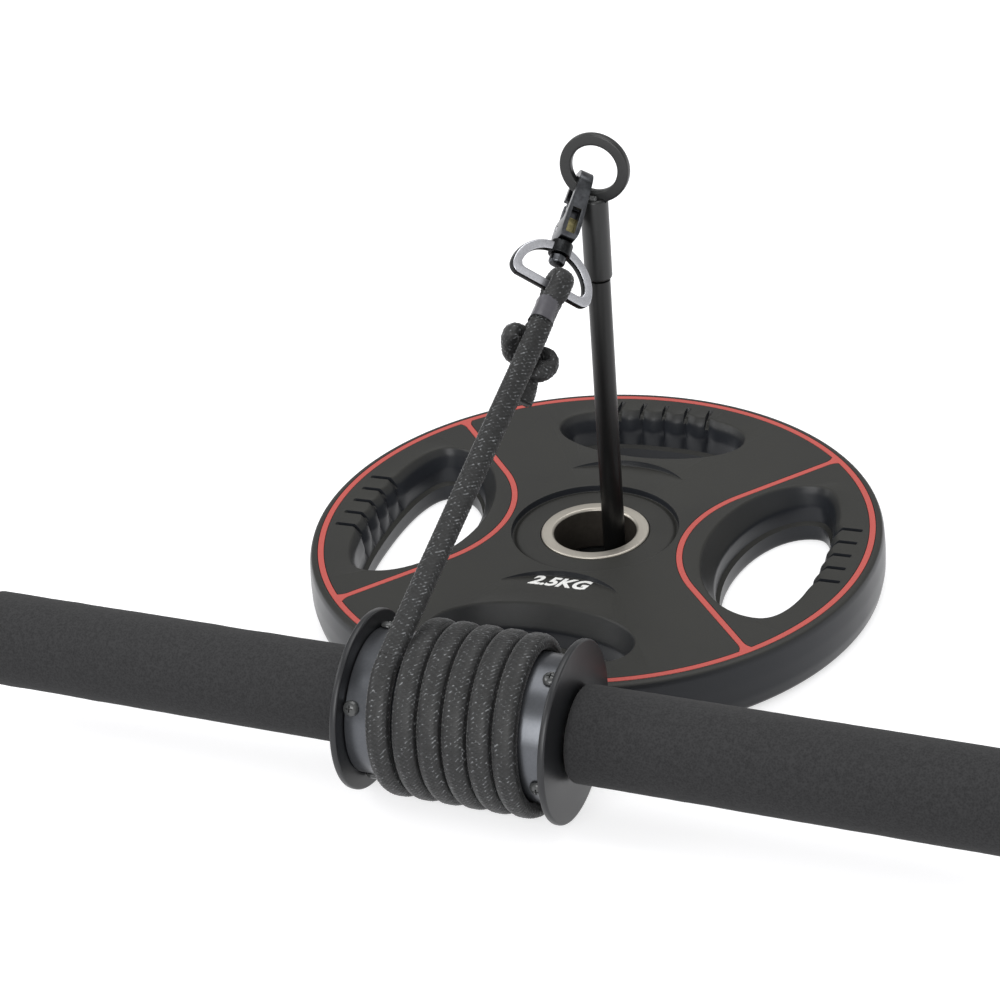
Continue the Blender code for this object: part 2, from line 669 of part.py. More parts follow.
def make_roller(axis):
    """The roller's pieces about the bar's axis, which is the empty's +Z."""
    half_bar = BAR_LENGTH / 2
    tube = ring_profile(BAR_RADIUS - BAR_WALL, BAR_RADIUS, -half_bar, half_bar)
    piece("bar_tube", turned(tube, 32), COATED_STEEL, parent=axis)
    drum_half = FLANGE_INNER_FACE - FIT
    shell = ring_profile(DRUM_RADIUS - DRUM_WALL, DRUM_RADIUS, -drum_half, drum_half)
    drum = piece("drum_shell", turned(shell, 36), SATIN_BLACK, parent=axis)
    outer_face = FLANGE_INNER_FACE + FLANGE_THICKNESS
    hub_outer = DRUM_RADIUS - DRUM_WALL - FIT
    bore = BAR_RADIUS + FIT
    edge = 0.8 * MM
    foam_start = outer_face + FOAM_FLANGE_GAP
    for side, hand in ((-1, "left"), (1, "right")):
        turn = (radians(180.0), 0.0, 0.0) if side < 0 else (0.0, 0.0, 0.0)
        flange = [
            (bore, outer_face),
            (FLANGE_RADIUS - edge, outer_face),
            (FLANGE_RADIUS, outer_face - edge),
            (FLANGE_RADIUS, FLANGE_INNER_FACE + edge),
            (FLANGE_RADIUS - edge, FLANGE_INNER_FACE),
            (hub_outer, FLANGE_INNER_FACE),
            (hub_outer, FLANGE_INNER_FACE - HUB_DEPTH),
            (hub_outer - HUB_WALL, FLANGE_INNER_FACE - HUB_DEPTH),
            (hub_outer - HUB_WALL, FLANGE_INNER_FACE),
            (bore, FLANGE_INNER_FACE),
        ]
        disc = piece(f"flange_{hand}", turned(flange, 36), SATIN_BLACK, parent=axis, turn=turn)
        foam = [
            (bore, FOAM_END),
            (FOAM_RADIUS - FOAM_EDGE, FOAM_END),
            (FOAM_RADIUS - FOAM_EDGE * 0.3, FOAM_END - FOAM_EDGE * 0.3),
            (FOAM_RADIUS, FOAM_END - FOAM_EDGE),
            (FOAM_RADIUS, foam_start + FOAM_EDGE),
            (FOAM_RADIUS - FOAM_EDGE * 0.3, foam_start + FOAM_EDGE * 0.3),
            (FOAM_RADIUS - FOAM_EDGE, foam_start),
            (bore, foam_start),
        ]
        piece(f"foam_grip_{hand}", turned(foam, 28), FOAM, parent=axis, turn=turn)
        plug = [
            (0.0, FOAM_END),
            (BAR_RADIUS - FIT, FOAM_END),
            (BAR_RADIUS - FIT, half_bar + FIT),
            (BAR_RADIUS - BAR_WALL - FIT, half_bar + FIT),
            (BAR_RADIUS - BAR_WALL - FIT, half_bar - PLUG_DEPTH),
            (0.0, half_bar - PLUG_DEPTH),
        ]
        piece(f"end_plug_{hand}", turned(plug, 16), BLACK_PLASTIC, parent=axis, turn=turn)
        holes = []
        for number in range(1, 5):
            angle = SCREW_FIRST_ANGLE[hand] + (number - 1) * pi / 2
            outward = Matrix.Rotation(angle, 4, "Z") @ Matrix.Rotation(radians(90.0), 4, "Y")
            seat = Matrix.Translation((0, 0, side * SCREW_PLACE)) @ outward
            screw = piece(f"drum_screw_{hand}_{number}", screw_mesh(), COATED_STEEL, parent=axis)
            screw.matrix_local = seat
            depths = (hub_outer - HUB_WALL - FIT * 4, DRUM_RADIUS + FIT * 4)
            hole = cylinder(SCREW_SHANK_RADIUS + FIT, *depths, 12)
            hole.transform(seat)
            holes.append(hole)
        drill = guide(f"screw_holes_{hand}", merged(holes), parent=axis)
        cut(drum, drill)
        cut(disc, drill)
    return drum


def screw_mesh():
    """A pan-head screw along +Z, its head seated on the drum."""
    seat = DRUM_RADIUS + FIT
    head = [
        (0.0, seat + SCREW_HEAD_HEIGHT),
        (SCREW_HEAD_RADIUS * 0.7, seat + SCREW_HEAD_HEIGHT * 0.8),
        (SCREW_HEAD_RADIUS, seat),
        (SCREW_SHANK_RADIUS, seat),
        (SCREW_SHANK_RADIUS, seat - SCREW_LENGTH),
        (0.0, seat - SCREW_LENGTH),
    ]
    return turned(head, 10)


# Rope


def rope_section(width, thickness, grow=0.0):
    """The rope's oval section."""
    points = []
    for i in range(ROPE_SIDES):
        a = 2 * pi * (i + 0.5) / ROPE_SIDES
        x = abs(cos(a)) ** 0.8 * (1 if cos(a) >= 0 else -1)
        y = abs(sin(a)) ** 0.8 * (1 if sin(a) >= 0 else -1)
        points.append(((width / 2 + grow) * x, (thickness / 2 + grow) * y))
    return points


def swept(path, wide_axes, section):
    """A tube through a path, its section's width along the axis given at each point."""
    rings = []
    for i, point in enumerate(path):
        ahead = path[min(i + 1, len(path) - 1)] - path[max(i - 1, 0)]
        ahead.normalize()
        wide = (wide_axes[i] - ahead * wide_axes[i].dot(ahead)).normalized()
        thick = ahead.cross(wide)
        rings.append([point + wide * u + thick * v for u, v in section])
    return loft(rings)


def least_self_gap(path, steps_per_turn, width):
    """The least clear distance between neighbouring turns, on the path's points."""
    gaps = []
    for i, point in enumerate(path):
        for other in path[i + steps_per_turn // 2:]:
            gaps.append((other - point).length - width)
    return min(gaps)


def winding_path():
    """The turns on the drum, from where the rope meets it, then the dive into the drum."""
    start = tangent_angle()
    steps = ceil(WINDING_STEPS * WINDING_TURNS)
    first = drum_point(start, ROPE_WINDING_RADIUS, WINDING_START)
    lead = rope_direction()
    path = [first - Vector((-lead.z, lead.y, lead.x)) * ROPE_THICKNESS]
    for i in range(steps + 1):
        turns = WINDING_TURNS * i / steps
        along = WINDING_START + WINDING_PITCH * turns + WINDING_LEAD * min(turns / 0.8, 1.0)
        path.append(drum_point(start + 2 * pi * turns, ROPE_WINDING_RADIUS, along))
    dive_steps = 5
    last = along
    for i in range(1, dive_steps + 1):
        share = i / dive_steps
        angle = start + 2 * pi * WINDING_TURNS + DIVE_SWEEP * share
        depth = DIVE_DEPTH * share * share
        along = last + WINDING_PITCH * DIVE_SWEEP / (2 * pi) * share
        path.append(drum_point(angle, ROPE_WINDING_RADIUS - depth, along))
    return path


def drum_point(angle, radius, along):
    """A point about the drum's axis. The angle runs from up, over the front, as the rope is wound."""
    return Vector((-radius * cos(angle), -radius * sin(angle), along))


def tangent_angle():
    """Where the rope leaves the drum, towards the eye ring's band."""
    contact = ring_contact()
    rise = contact.z - ROLLER_CENTRE.z
    run = contact.y - ROLLER_CENTRE.y
    return acos(ROPE_WINDING_RADIUS / hypot(rise, run)) - atan2(run, rise)


def ring_contact():
    """The middle of the eye ring's band where the hook holds it."""
    towards = Vector((cos(RING_CONTACT_ANGLE), 0.0, sin(RING_CONTACT_ANGLE)))
    return EYE_CENTRE + towards * EYE_BAND_RADIUS


def rope_leaves_drum():
    """The tangent point in the row's frame."""
    angle = tangent_angle()
    out = Vector((0.0, -sin(angle), cos(angle)))
    return ROLLER_CENTRE + out * ROPE_WINDING_RADIUS + Vector((WINDING_START, 0, 0))


def make_winding(axis, drum):
    path = winding_path()
    wide = [Vector((0, 0, 1))] * len(path)
    coil = swept(path, wide, rope_section(ROPE_WIDTH, ROPE_THICKNESS))
    piece("rope_winding", coil, ROPE_BRAID, parent=axis)
    entry = path[-6:] + [path[-1] + (path[-1] - path[-2]) * 2]
    hole = swept(entry, wide[: len(entry)], rope_section(ROPE_WIDTH, ROPE_THICKNESS, FIT))
    cut(drum, guide("rope_hole", hole, parent=axis))
    spare = least_self_gap(path, WINDING_STEPS, ROPE_WIDTH)
    print(f"rope winding: least gap to itself {spare * 1000:.2f} mm")


def smooth_route(points, steps):
    """A Catmull-Rom curve through a route's points."""
    route = [points[0] * 2 - points[1], *points, points[-1] * 2 - points[-2]]
    path = []
    for before, first, second, after in zip(route, route[1:], route[2:], route[3:]):
        for i in range(steps):
            s = i / steps
            path.append(
                (
                    first * 2
                    + (second - before) * s
                    + (before * 2 - first * 5 + second * 4 - after) * s**2
                    + (first * 3 - before - second * 3 + after) * s**3
                )
                / 2
            )
    return path + [points[-1]]


def make_rope(swivel):
    """The free rope: from the drum through the ferrule, round the D ring's bar and back.

    In the swivel's frame X runs along the bar, -Y is the front strand's side and -Z is down the chain."""
    strand = (ROPE_THICKNESS + STRAND_GAP) / 2
    turn_radius = hypot(D_BAND, D_THICKNESS) / 2 + FIT + ROPE_THICKNESS / 2
    tail = -knot_offset()
    leaves = rope_leaves_drum() - rope_direction() * (ROPE_THICKNESS + FIT)
    drum_end = swivel.matrix_world.inverted() @ leaves
    straight = Vector((0, -strand, -FERRULE_BOTTOM - 1.5 * MM))
    run = [drum_end.lerp(straight, i / 12) for i in range(13)]
    front = [Vector((0, -strand, -FERRULE_TOP + 0.4 * MM)), Vector((0, -turn_radius, -D_BAR - 0.6 * MM))]
    bend = [Vector((0, y, z)) for y, z in arc((0.0, -D_BAR), turn_radius, pi, 0.0, 10)]
    back = [Vector((0, turn_radius, -D_BAR - 0.6 * MM)), Vector((0, strand, -FERRULE_TOP + 0.4 * MM))]
    shift = KNOT_SIDE_SHIFT
    lower = [
        Vector((0, strand, -FERRULE_BOTTOM + 0.5 * MM)),
        Vector((0, strand, -FERRULE_BOTTOM - 1.0 * MM)),
        Vector((shift * 0.5, (strand - tail) / 2, -(FERRULE_BOTTOM + KNOT_TOP) / 2)),
        Vector((shift, -tail, -KNOT_TOP)),
        Vector((shift + 0.2 * MM, -tail, -KNOT_TOP - KNOT_BAND - KNOT_RISE)),
        Vector((TAIL_SIDE_SHIFT, -tail * 0.8, -TAIL_END)),
    ]
    path = run + smooth_route(front, 1) + bend[1:-1] + smooth_route(back, 1) + smooth_route(lower, 3)
    bar = Vector((1, 0, 0))
    drum_side = swivel.matrix_world.to_3x3().inverted() @ Vector((1, 0, 0))
    wide = [drum_side.lerp(bar, min(i / 12, 1.0)) for i in range(len(path))]
    free_rope = swept(path, wide, rope_section(ROPE_WIDTH, ROPE_THICKNESS))
    piece("rope_run", free_rope, ROPE_BRAID, parent=swivel)
    make_ferrule(swivel, strand)
    make_knot(swivel)


def knot_offset():
    """How far the tail's middle lies behind the chain's line in the knot."""
    wrap = ROPE_THICKNESS / 2 + KNOT_GAP + KNOT_THICKNESS
    return wrap * cos(pi - KNOT_SWEEP / 2) + FIT


def make_ferrule(swivel, strand):
    depth = strand + ROPE_THICKNESS / 2 + FIT
    width = ROPE_WIDTH / 2 + FIT
    outlines = []
    for wall in (FERRULE_WALL, 0.0):
        corner = width * 0.75
        corners = ((1, 1), (-1, 1), (-1, -1), (1, -1))
        outline = []
        for i, (sx, sy) in enumerate(corners):
            centre = (sx * (width - corner), sy * (depth - corner))
            outline += arc(centre, corner + wall, i * pi / 2, (i + 1) * pi / 2, 4)
        outlines.append(outline)
    sleeve = plate_of(outlines, (FERRULE_BOTTOM - FERRULE_TOP) / 2, axis="Z")
    middle = (0.0, 0.0, -(FERRULE_TOP + FERRULE_BOTTOM) / 2)
    piece("ferrule", sleeve, SHRINK_SLEEVE, parent=swivel, location=middle)


def make_knot(swivel):
    """The turn of the knot round the tail, open towards the run."""
    across = ROPE_WIDTH / 2 + KNOT_GAP + KNOT_THICKNESS / 2
    deep = ROPE_THICKNESS / 2 + KNOT_GAP + KNOT_THICKNESS / 2
    steps = 22
    path = []
    for i in range(steps + 1):
        a = -pi / 2 + (2 * pi - KNOT_SWEEP) / 2 + KNOT_SWEEP * i / steps
        drop = KNOT_TOP + KNOT_BAND / 2 + KNOT_RISE * (1 + cos(a)) / 2
        path.append(Vector((KNOT_SIDE_SHIFT + across * cos(a), knot_offset() + deep * sin(a), -drop)))
    wide = [Vector((0, 0, 1))] * len(path)
    piece("rope_knot", swept(path, wide, rope_section(KNOT_BAND, KNOT_THICKNESS)), ROPE_BRAID, parent=swivel)


# D ring and snap hook


def rope_direction():
    """From the eye ring's band to where the rope meets the drum."""
    return (rope_leaves_drum() - ring_contact()).normalized()


def chain_direction():
    """Down the hook and the D ring, which the stiff rope pushes a little to the right of the rope's line."""
    return (rope_leaves_drum() + Vector((CHAIN_LEAN, 0, 0)) - ring_contact()).normalized()


def make_d_ring(swivel):
    low = -D_BAR - D_BAND / 2
    sill = -D_BAR + D_BAND / 2
    half = D_WIDTH / 2
    spring = low + D_CORNER
    rise = D_HEIGHT - D_CORNER
    outer = [(half * x, spring + rise * z) for x, z in arc((0.0, 0.0), 1.0, 0.0, pi, 20)]
    outer += arc((D_CORNER - half, spring), D_CORNER, pi, 1.5 * pi, 5)
    outer += arc((half - D_CORNER, spring), D_CORNER, 1.5 * pi, 2 * pi, 5)[:-1]
    wide, tall = half - D_BAND, rise - D_BAND
    start = radians(8.0)
    inner = [(wide * x, spring + tall * z) for x, z in arc((0.0, 0.0), 1.0, start, pi - start, 16)]
    inner += [(0.7 * MM - wide, sill + 0.5 * MM), (1.8 * MM - wide, sill)]
    inner += [(wide - 1.8 * MM, sill), (wide - 0.7 * MM, sill + 0.5 * MM)]
    ring = plate_of([outer, inner], D_THICKNESS / 2, axis="Y", edge=0.3 * MM)
    d_ring = piece("d_ring", ring, SATIN_NICKEL, parent=swivel)
    boss = cylinder(BOSS_RADIUS, -BOSS_BOTTOM, -BOSS_TOP, 20)
    cut(d_ring, guide("swivel_boss", boss, parent=swivel), "UNION")
    bore = cylinder(RIVET_RADIUS + FIT, -BOSS_BOTTOM - 1 * MM, -BOSS_TOP + 1 * MM, 16)
    cut(d_ring, guide("swivel_bore", bore, parent=swivel))


def make_hook(hook):
    """The hook in its own frame: X across the band, -Y the spine, +Y the gate, -Z down the chain."""
    outer = BOW_INNER_RADIUS + BOW_WALL
    spine = [(-outer, -HOOK_BOTTOM + 1.6 * MM), (-outer + 1.2 * MM, -HOOK_BOTTOM)]
    foot = [(HOOK_FRONT - 1.2 * MM, -HOOK_BOTTOM), (HOOK_FRONT, -HOOK_BOTTOM + 1.2 * MM)]
    cheek = [(HOOK_FRONT, -HOOK_SLOT_TOP - 0.6 * MM), (HOOK_FRONT - 1.4 * MM, -HOOK_SLOT_TOP)]
    throat = [(-BOW_INNER_RADIUS + 1.6 * MM, -HOOK_SLOT_TOP), (-BOW_INNER_RADIUS, -HOOK_SLOT_TOP + 1.8 * MM)]
    inner_bow = arc((0.0, 0.0), BOW_INNER_RADIUS, pi, 0.0, 12)
    tip = [(BOW_INNER_RADIUS, -BOW_TIP), (outer, -BOW_TIP)]
    outer_bow = arc((0.0, 0.0), outer, 0.0, pi, 16)
    side = plate_of([spine + foot + cheek + throat + inner_bow + tip + outer_bow], HOOK_HALF_WIDTH, axis="X")
    body = piece("hook_body", side, BLACK_NICKEL, parent=hook)
    right = [
        (BOW_HALF_WIDTH * 0.8, outer + 1 * MM),
        (BOW_HALF_WIDTH, outer - 1.2 * MM),
        (BOW_HALF_WIDTH * 1.04, -BOW_TIP + 1 * MM),
        (HOOK_HALF_WIDTH - 0.3 * MM, -HOOK_SLOT_TOP),
        (HOOK_HALF_WIDTH - 0.2 * MM, -HOOK_BOTTOM + 1.4 * MM),
        (HOOK_HALF_WIDTH - 1.0 * MM, -HOOK_BOTTOM - 1 * MM),
    ]
    front = right + [(-x, z) for x, z in reversed(right)]
    taper = plate_of([front], 2 * outer, axis="Y")
    cut(body, guide("hook_front_view", taper, parent=hook), "INTERSECT")
    slot = block(
        (-GATE_HALF_WIDTH - FIT, -BOW_INNER_RADIUS + 1 * MM, -HOOK_SLOT_BOTTOM),
        (GATE_HALF_WIDTH + FIT, GATE_PAD + 1 * MM, -HOOK_SLOT_TOP + 2 * MM),
    )
    cut(body, guide("gate_slot", slot, parent=hook))
    window = block(
        (-WINDOW_HALF_WIDTH, -outer - 1 * MM, -HOOK_SLOT_BOTTOM + 0.8 * MM),
        (WINDOW_HALF_WIDTH, -BOW_INNER_RADIUS + 1.4 * MM, -WINDOW_TOP),
    )
    cut(body, guide("spine_window", window, parent=hook))
    shank = cylinder(RIVET_RADIUS + FIT, -HOOK_BOTTOM - 1 * MM, -HOOK_SLOT_BOTTOM + 1 * MM, 16)
    cut(body, guide("rivet_bore", shank, parent=hook))
    crosswise = (0.0, radians(90.0), 0.0)
    pivot = (0.0, GATE_PIVOT[0], -GATE_PIVOT[1])
    drill = cylinder(GATE_PIN_RADIUS + FIT, -HOOK_HALF_WIDTH - 1 * MM, HOOK_HALF_WIDTH + 1 * MM, 12)
    pin_bore = guide("gate_pin_bore", drill, parent=hook, location=pivot, turn=crosswise)
    cut(body, pin_bore)
    pin_half = HOOK_HALF_WIDTH - 0.3 * MM
    pin = cylinder(GATE_PIN_RADIUS, -pin_half, pin_half, 12)
    piece("gate_pin", pin, SATIN_NICKEL, parent=hook, location=pivot, turn=crosswise)
    rivet = [
        (0.0, -HOOK_SLOT_BOTTOM - FIT),
        (RIVET_RADIUS, -HOOK_SLOT_BOTTOM - FIT),
        (RIVET_RADIUS, -BOSS_BOTTOM - FIT),
        (RIVET_HEAD_RADIUS, -BOSS_BOTTOM - FIT),
        (RIVET_HEAD_RADIUS, -BOSS_BOTTOM - RIVET_HEAD_HEIGHT * 0.7),
        (RIVET_HEAD_RADIUS * 0.6, -BOSS_BOTTOM - RIVET_HEAD_HEIGHT),
        (0.0, -BOSS_BOTTOM - RIVET_HEAD_HEIGHT),
    ]
    piece("swivel_rivet", turned(rivet, 20), BLACK_NICKEL, parent=hook)
    make_gate(hook, pin_bore, outer)


def make_gate(hook, pin_bore, outer):
    top = -BOW_TIP - FIT
    py, pz = GATE_PIVOT[0], -GATE_PIVOT[1]
    teeth = []
    tooth = 1.1 * MM
    for i in range(4):
        z = top - 3.4 * MM - i * tooth
        teeth += [(GATE_PAD, z), (GATE_PAD - 0.5 * MM, z - tooth * 0.7)]
    pad_low = (GATE_PAD, top - 3.4 * MM - 4 * tooth)
    outline = [(BOW_INNER_RADIUS, top), (outer, top - 0.6 * MM), (outer, top - 2.4 * MM)]
    outline += teeth + [pad_low, (outer - 0.4 * MM, -HOOK_SLOT_TOP - 0.8 * MM)]
    outline += arc((py, pz), GATE_BOSS_RADIUS, radians(-10.0), radians(-200.0), 10)
    outline += [(BOW_INNER_RADIUS - 1.0 * MM, -HOOK_SLOT_TOP + 0.6 * MM)]
    outline += [(BOW_INNER_RADIUS, -HOOK_SLOT_TOP + 3 * MM)]
    gate = piece("snap_gate", plate_of([outline], GATE_HALF_WIDTH, axis="X"), BLACK_NICKEL, parent=hook)
    cut(gate, pin_bore)
    leaf = [
        (-1.9 * MM, -HOOK_SLOT_BOTTOM + FIT),
        (-1.4 * MM, -HOOK_SLOT_BOTTOM + FIT),
        (-1.6 * MM, -HOOK_SLOT_TOP - 1.4 * MM),
        (-1.0 * MM, -HOOK_SLOT_TOP + 1.4 * MM),
        (0.4 * MM, -HOOK_SLOT_TOP + 3.6 * MM),
        (0.4 * MM, -HOOK_SLOT_TOP + 4.2 * MM),
        (-1.4 * MM, -HOOK_SLOT_TOP + 1.8 * MM),
        (-2.1 * MM, -HOOK_SLOT_TOP - 1.2 * MM),
    ]
    piece("gate_spring", plate_of([leaf], 1.2 * MM, axis="X"), SPRING_WIRE, parent=hook)


make_pin()
make_weight_plate()

down = chain_direction()
contact = ring_contact()
chain = frame_at("chain_frame", contact, Vector((1, 0, 0)), -down)
wire = Matrix.Rotation(HOOK_TURN, 3, down) @ Vector((-sin(RING_CONTACT_ANGLE), 0, cos(RING_CONTACT_ANGLE)))
hook_frame = frame_at("hook_frame", contact, wire, -down)
bar_heading = chain.matrix_world.to_3x3() @ Vector((cos(SWIVEL_TURN), sin(SWIVEL_TURN), 0))
swivel_frame = frame_at("swivel_frame", contact, bar_heading, -down)
bar_axis = frame_at("bar_axis", ROLLER_CENTRE, Vector((0, 0, -1)), Vector((1, 0, 0)))
bpy.context.view_layer.update()

make_hook(hook_frame)
make_d_ring(swivel_frame)
make_rope(swivel_frame)
make_winding(bar_axis, make_roller(bar_axis))
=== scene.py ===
# %% [markdown]
# # Dressing a wrist trainer
#
# The trainer is three things tied together: a steel loading pin with a rubber-coated plate on it,
# a snap hook with a D ring, and a roller that winds a braided rope. The CAD model gives every piece
# its place and size. This lesson keeps those places and gives each piece its finished surface.
# All lengths are in metres, and MM turns the drawing's millimetres into them.

# %% Start with the CAD model
import json
import math

import bmesh
import bpy
from mathutils import Matrix, Vector, noise

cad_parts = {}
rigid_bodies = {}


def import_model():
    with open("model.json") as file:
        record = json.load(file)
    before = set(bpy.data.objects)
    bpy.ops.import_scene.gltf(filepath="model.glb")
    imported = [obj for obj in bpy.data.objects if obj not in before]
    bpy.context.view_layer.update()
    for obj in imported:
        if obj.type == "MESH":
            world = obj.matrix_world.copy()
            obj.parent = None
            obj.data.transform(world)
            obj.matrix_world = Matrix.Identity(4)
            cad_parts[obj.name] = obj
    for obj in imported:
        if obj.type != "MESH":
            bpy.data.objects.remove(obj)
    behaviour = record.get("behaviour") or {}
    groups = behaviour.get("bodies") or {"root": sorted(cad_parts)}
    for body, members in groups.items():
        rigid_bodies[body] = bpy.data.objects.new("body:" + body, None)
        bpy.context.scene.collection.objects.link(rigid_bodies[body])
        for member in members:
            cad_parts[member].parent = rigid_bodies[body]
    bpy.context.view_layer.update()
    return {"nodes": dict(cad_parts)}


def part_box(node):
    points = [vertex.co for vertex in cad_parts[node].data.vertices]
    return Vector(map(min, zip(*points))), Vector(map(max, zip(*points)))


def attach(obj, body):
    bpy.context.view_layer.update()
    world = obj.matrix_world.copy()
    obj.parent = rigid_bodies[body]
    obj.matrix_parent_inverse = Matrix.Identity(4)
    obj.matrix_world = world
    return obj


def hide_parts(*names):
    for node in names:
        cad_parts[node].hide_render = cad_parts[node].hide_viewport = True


for item in list(bpy.data.objects):
    bpy.data.objects.remove(item, do_unlink=True)
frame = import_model()
MM = 0.001


# %% Two helpers for objects and sizes
def placed(name, data):
    """A new object in the scene that holds the data."""
    obj = bpy.data.objects.new(name, data)
    bpy.context.scene.collection.objects.link(obj)
    return obj


def mm(*spots):
    """Points given in millimetres, as points in metres."""
    return [tuple(part * MM for part in spot) for spot in spots]


print("a point in metres:", mm((24.5, 3.4))[0])

# %% [markdown]
# ## The camera
#
# The photograph looks down on the plate from a little above the roller, with a long lens, and leans
# by almost five degrees. A camera's own axes are right, up and backwards, so three perpendicular
# vectors in a matrix are all it needs. The lean turns right and up about the line of sight.

# %% A camera at the photograph's angle
EYE = Vector((0.3154, -0.8171, 0.5400))
SIGHT = Vector((-0.3505, 0.7932, -0.4979)).normalized()
LEAN = math.radians(-4.77)
level = SIGHT.cross(Vector((0, 0, 1))).normalized()
above = level.cross(SIGHT)
right = level * math.cos(LEAN) + above * math.sin(LEAN)
up = above * math.cos(LEAN) - level * math.sin(LEAN)
camera = placed("camera", bpy.data.cameras.new("camera"))
camera.matrix_world = Matrix.Translation(EYE) @ Matrix((right, up, -SIGHT)).transposed().to_4x4()
camera.data.lens, camera.data.sensor_width, camera.data.clip_start = 97.2, 36, 0.01
bpy.context.scene.camera = camera
print("camera looks down by", round(math.degrees(math.asin(-SIGHT.z)), 1), "degrees")

# %% [markdown]
# ## Colours and nodes
#
# A colour written as a hex value is in sRGB, but the renderer adds light in linear values, so one
# function turns the one into the other. Shader trees and geometry trees are built in the same way,
# so one function adds any node and feeds its inputs with values or with links, and a few short ones
# on top of it add the kinds that come up again and again: sums, colour ramps and bumps.


# %% Helpers for every tree
def linear(hex_colour):
    """An sRGB hex value, such as "8a8d92", as linear red, green, blue and alpha."""
    parts = [int(hex_colour[i:i + 2], 16) / 255 for i in (0, 2, 4)]
    return [p / 12.92 if p <= 0.04045 else ((p + 0.055) / 1.055) ** 2.4 for p in parts] + [1.0]


def add(tree, kind, inputs=None, **settings):
    """Adds a node with its settings. An input that is a socket is linked, and any other is a value."""
    node = tree.nodes.new(kind)
    for name, value in settings.items():
        setattr(node, name, value)
    for key, value in (inputs or {}).items():
        if isinstance(value, bpy.types.NodeSocket):
            tree.links.new(value, node.inputs[key])
        else:
            node.inputs[key].default_value = value
    return node


def calc(tree, operation, *values):
    """The result of a sum on numbers or sockets."""
    return add(tree, "ShaderNodeMath", dict(enumerate(values)), operation=operation).outputs[0]


def ramp(tree, factor, *stops):
    """A colour that goes through stops, each a place from 0 to 1 and a hex value."""
    node = add(tree, "ShaderNodeValToRGB", {"Fac": factor})
    elements = node.color_ramp.elements
    for element, (place, colour) in ((elements[0], stops[0]), (elements[1], stops[-1])):
        element.position = place
        element.color = linear(colour)
    for place, colour in stops[1:-1]:
        elements.new(place).color = linear(colour)
    return node.outputs["Color"]


print("mid grey in linear:", round(linear("808080")[0], 3))


# %% A material with its shader
def surface(name, roughness, metallic=0.0, **constants):
    """A material with one Principled shader. Constants are set on the shader's own sockets."""
    made = bpy.data.materials.new(name)
    made.use_nodes = True
    made.node_tree.nodes.clear()
    inputs = {"Roughness": roughness, "Metallic": metallic}
    inputs.update({key.replace("_", " "): value for key, value in constants.items()})
    shader = add(made.node_tree, "ShaderNodeBsdfPrincipled", inputs)
    add(made.node_tree, "ShaderNodeOutputMaterial", {"Surface": shader.outputs["BSDF"]})
    print(f"{name}: roughness {roughness}, metallic {metallic}")
    return made, made.node_tree, shader


# %% A material's usual parts
def on_object(tree):
    """The place of each point in its object's own frame."""
    return add(tree, "ShaderNodeTexCoord").outputs["Object"]


def waves(tree, place, scale, detail=3.0):
    """A noise with about scale waves in a metre."""
    inputs = {"Vector": place, "Scale": scale, "Detail": detail}
    return add(tree, "ShaderNodeTexNoise", inputs).outputs["Fac"]


def colour_and_bump(tree, shader, colour, height, strength, depth):
    """Gives a shader its colour, and a relief as deep as depth."""
    bump = add(tree, "ShaderNodeBump", {"Height": height, "Strength": strength, "Distance": depth})
    tree.links.new(colour, shader.inputs["Base Color"])
    tree.links.new(bump.outputs["Normal"], shader.inputs["Normal"])


def finish(name, dark, pale, roughness, metallic, wave, depth, strength=0.35, ends=(0.0, 1.0), **constants):
    """A finish whose colour wanders from dark to pale on waves of a given size and depth in mm."""
    made, tree, shader = surface(name, roughness, metallic, **constants)
    swell = waves(tree, on_object(tree), 1 / (wave * MM))
    tone = ramp(tree, swell, (ends[0], dark), (ends[1], pale))
    colour_and_bump(tree, shader, tone, swell, strength, depth * MM)
    return made


# %% Geometry trees: their sockets and their end
def new_tree(name, result, **takes):
    """A geometry tree with a socket of the kind given for each thing that it takes."""
    tree = bpy.data.node_groups.new(name, "GeometryNodeTree")
    for title, kind in takes.items():
        socket = "NodeSocket" + kind
        tree.interface.new_socket(title.replace("_", " "), in_out="INPUT", socket_type=socket)
    tree.interface.new_socket(result, in_out="OUTPUT", socket_type="NodeSocketGeometry")
    return tree, add(tree, "NodeGroupInput").outputs


def end_tree(tree, geometry, material):
    """Makes the instances real and gives every face the material."""
    real = add(tree, "GeometryNodeRealizeInstances", {"Geometry": geometry})
    coloured = add(tree, "GeometryNodeSetMaterial", {"Geometry": real.outputs[0], "Material": material})
    add(tree, "NodeGroupOutput", {0: coloured.outputs[0]})
    print(f"{tree.name}: {len(tree.nodes)} nodes")


# %% A mesh that goes through a tree
def evaluated(obj):
    """What an object's modifiers make of it, as a plain mesh. The object is removed."""
    bpy.context.view_layer.update()
    mesh = bpy.data.meshes.new_from_object(obj.evaluated_get(bpy.context.evaluated_depsgraph_get()))
    bpy.data.objects.remove(obj, do_unlink=True)
    return mesh


def grown(tree, mesh, values):
    """What a tree makes of a mesh, with these values on the tree's inputs."""
    obj = placed(mesh.name, mesh)
    nodes = obj.modifiers.new("grown", "NODES")
    nodes.node_group = tree
    for item in tree.interface.items_tree:
        if item.in_out == "INPUT" and item.name in values:
            nodes[item.identifier] = values[item.name]
    return evaluated(obj)


def poly_line(name, path):
    """A mesh with an edge from each point of a path to the next."""
    mesh = bpy.data.meshes.new(name)
    mesh.from_pydata(path, [(i, i + 1) for i in range(len(path) - 1)], [])
    return mesh


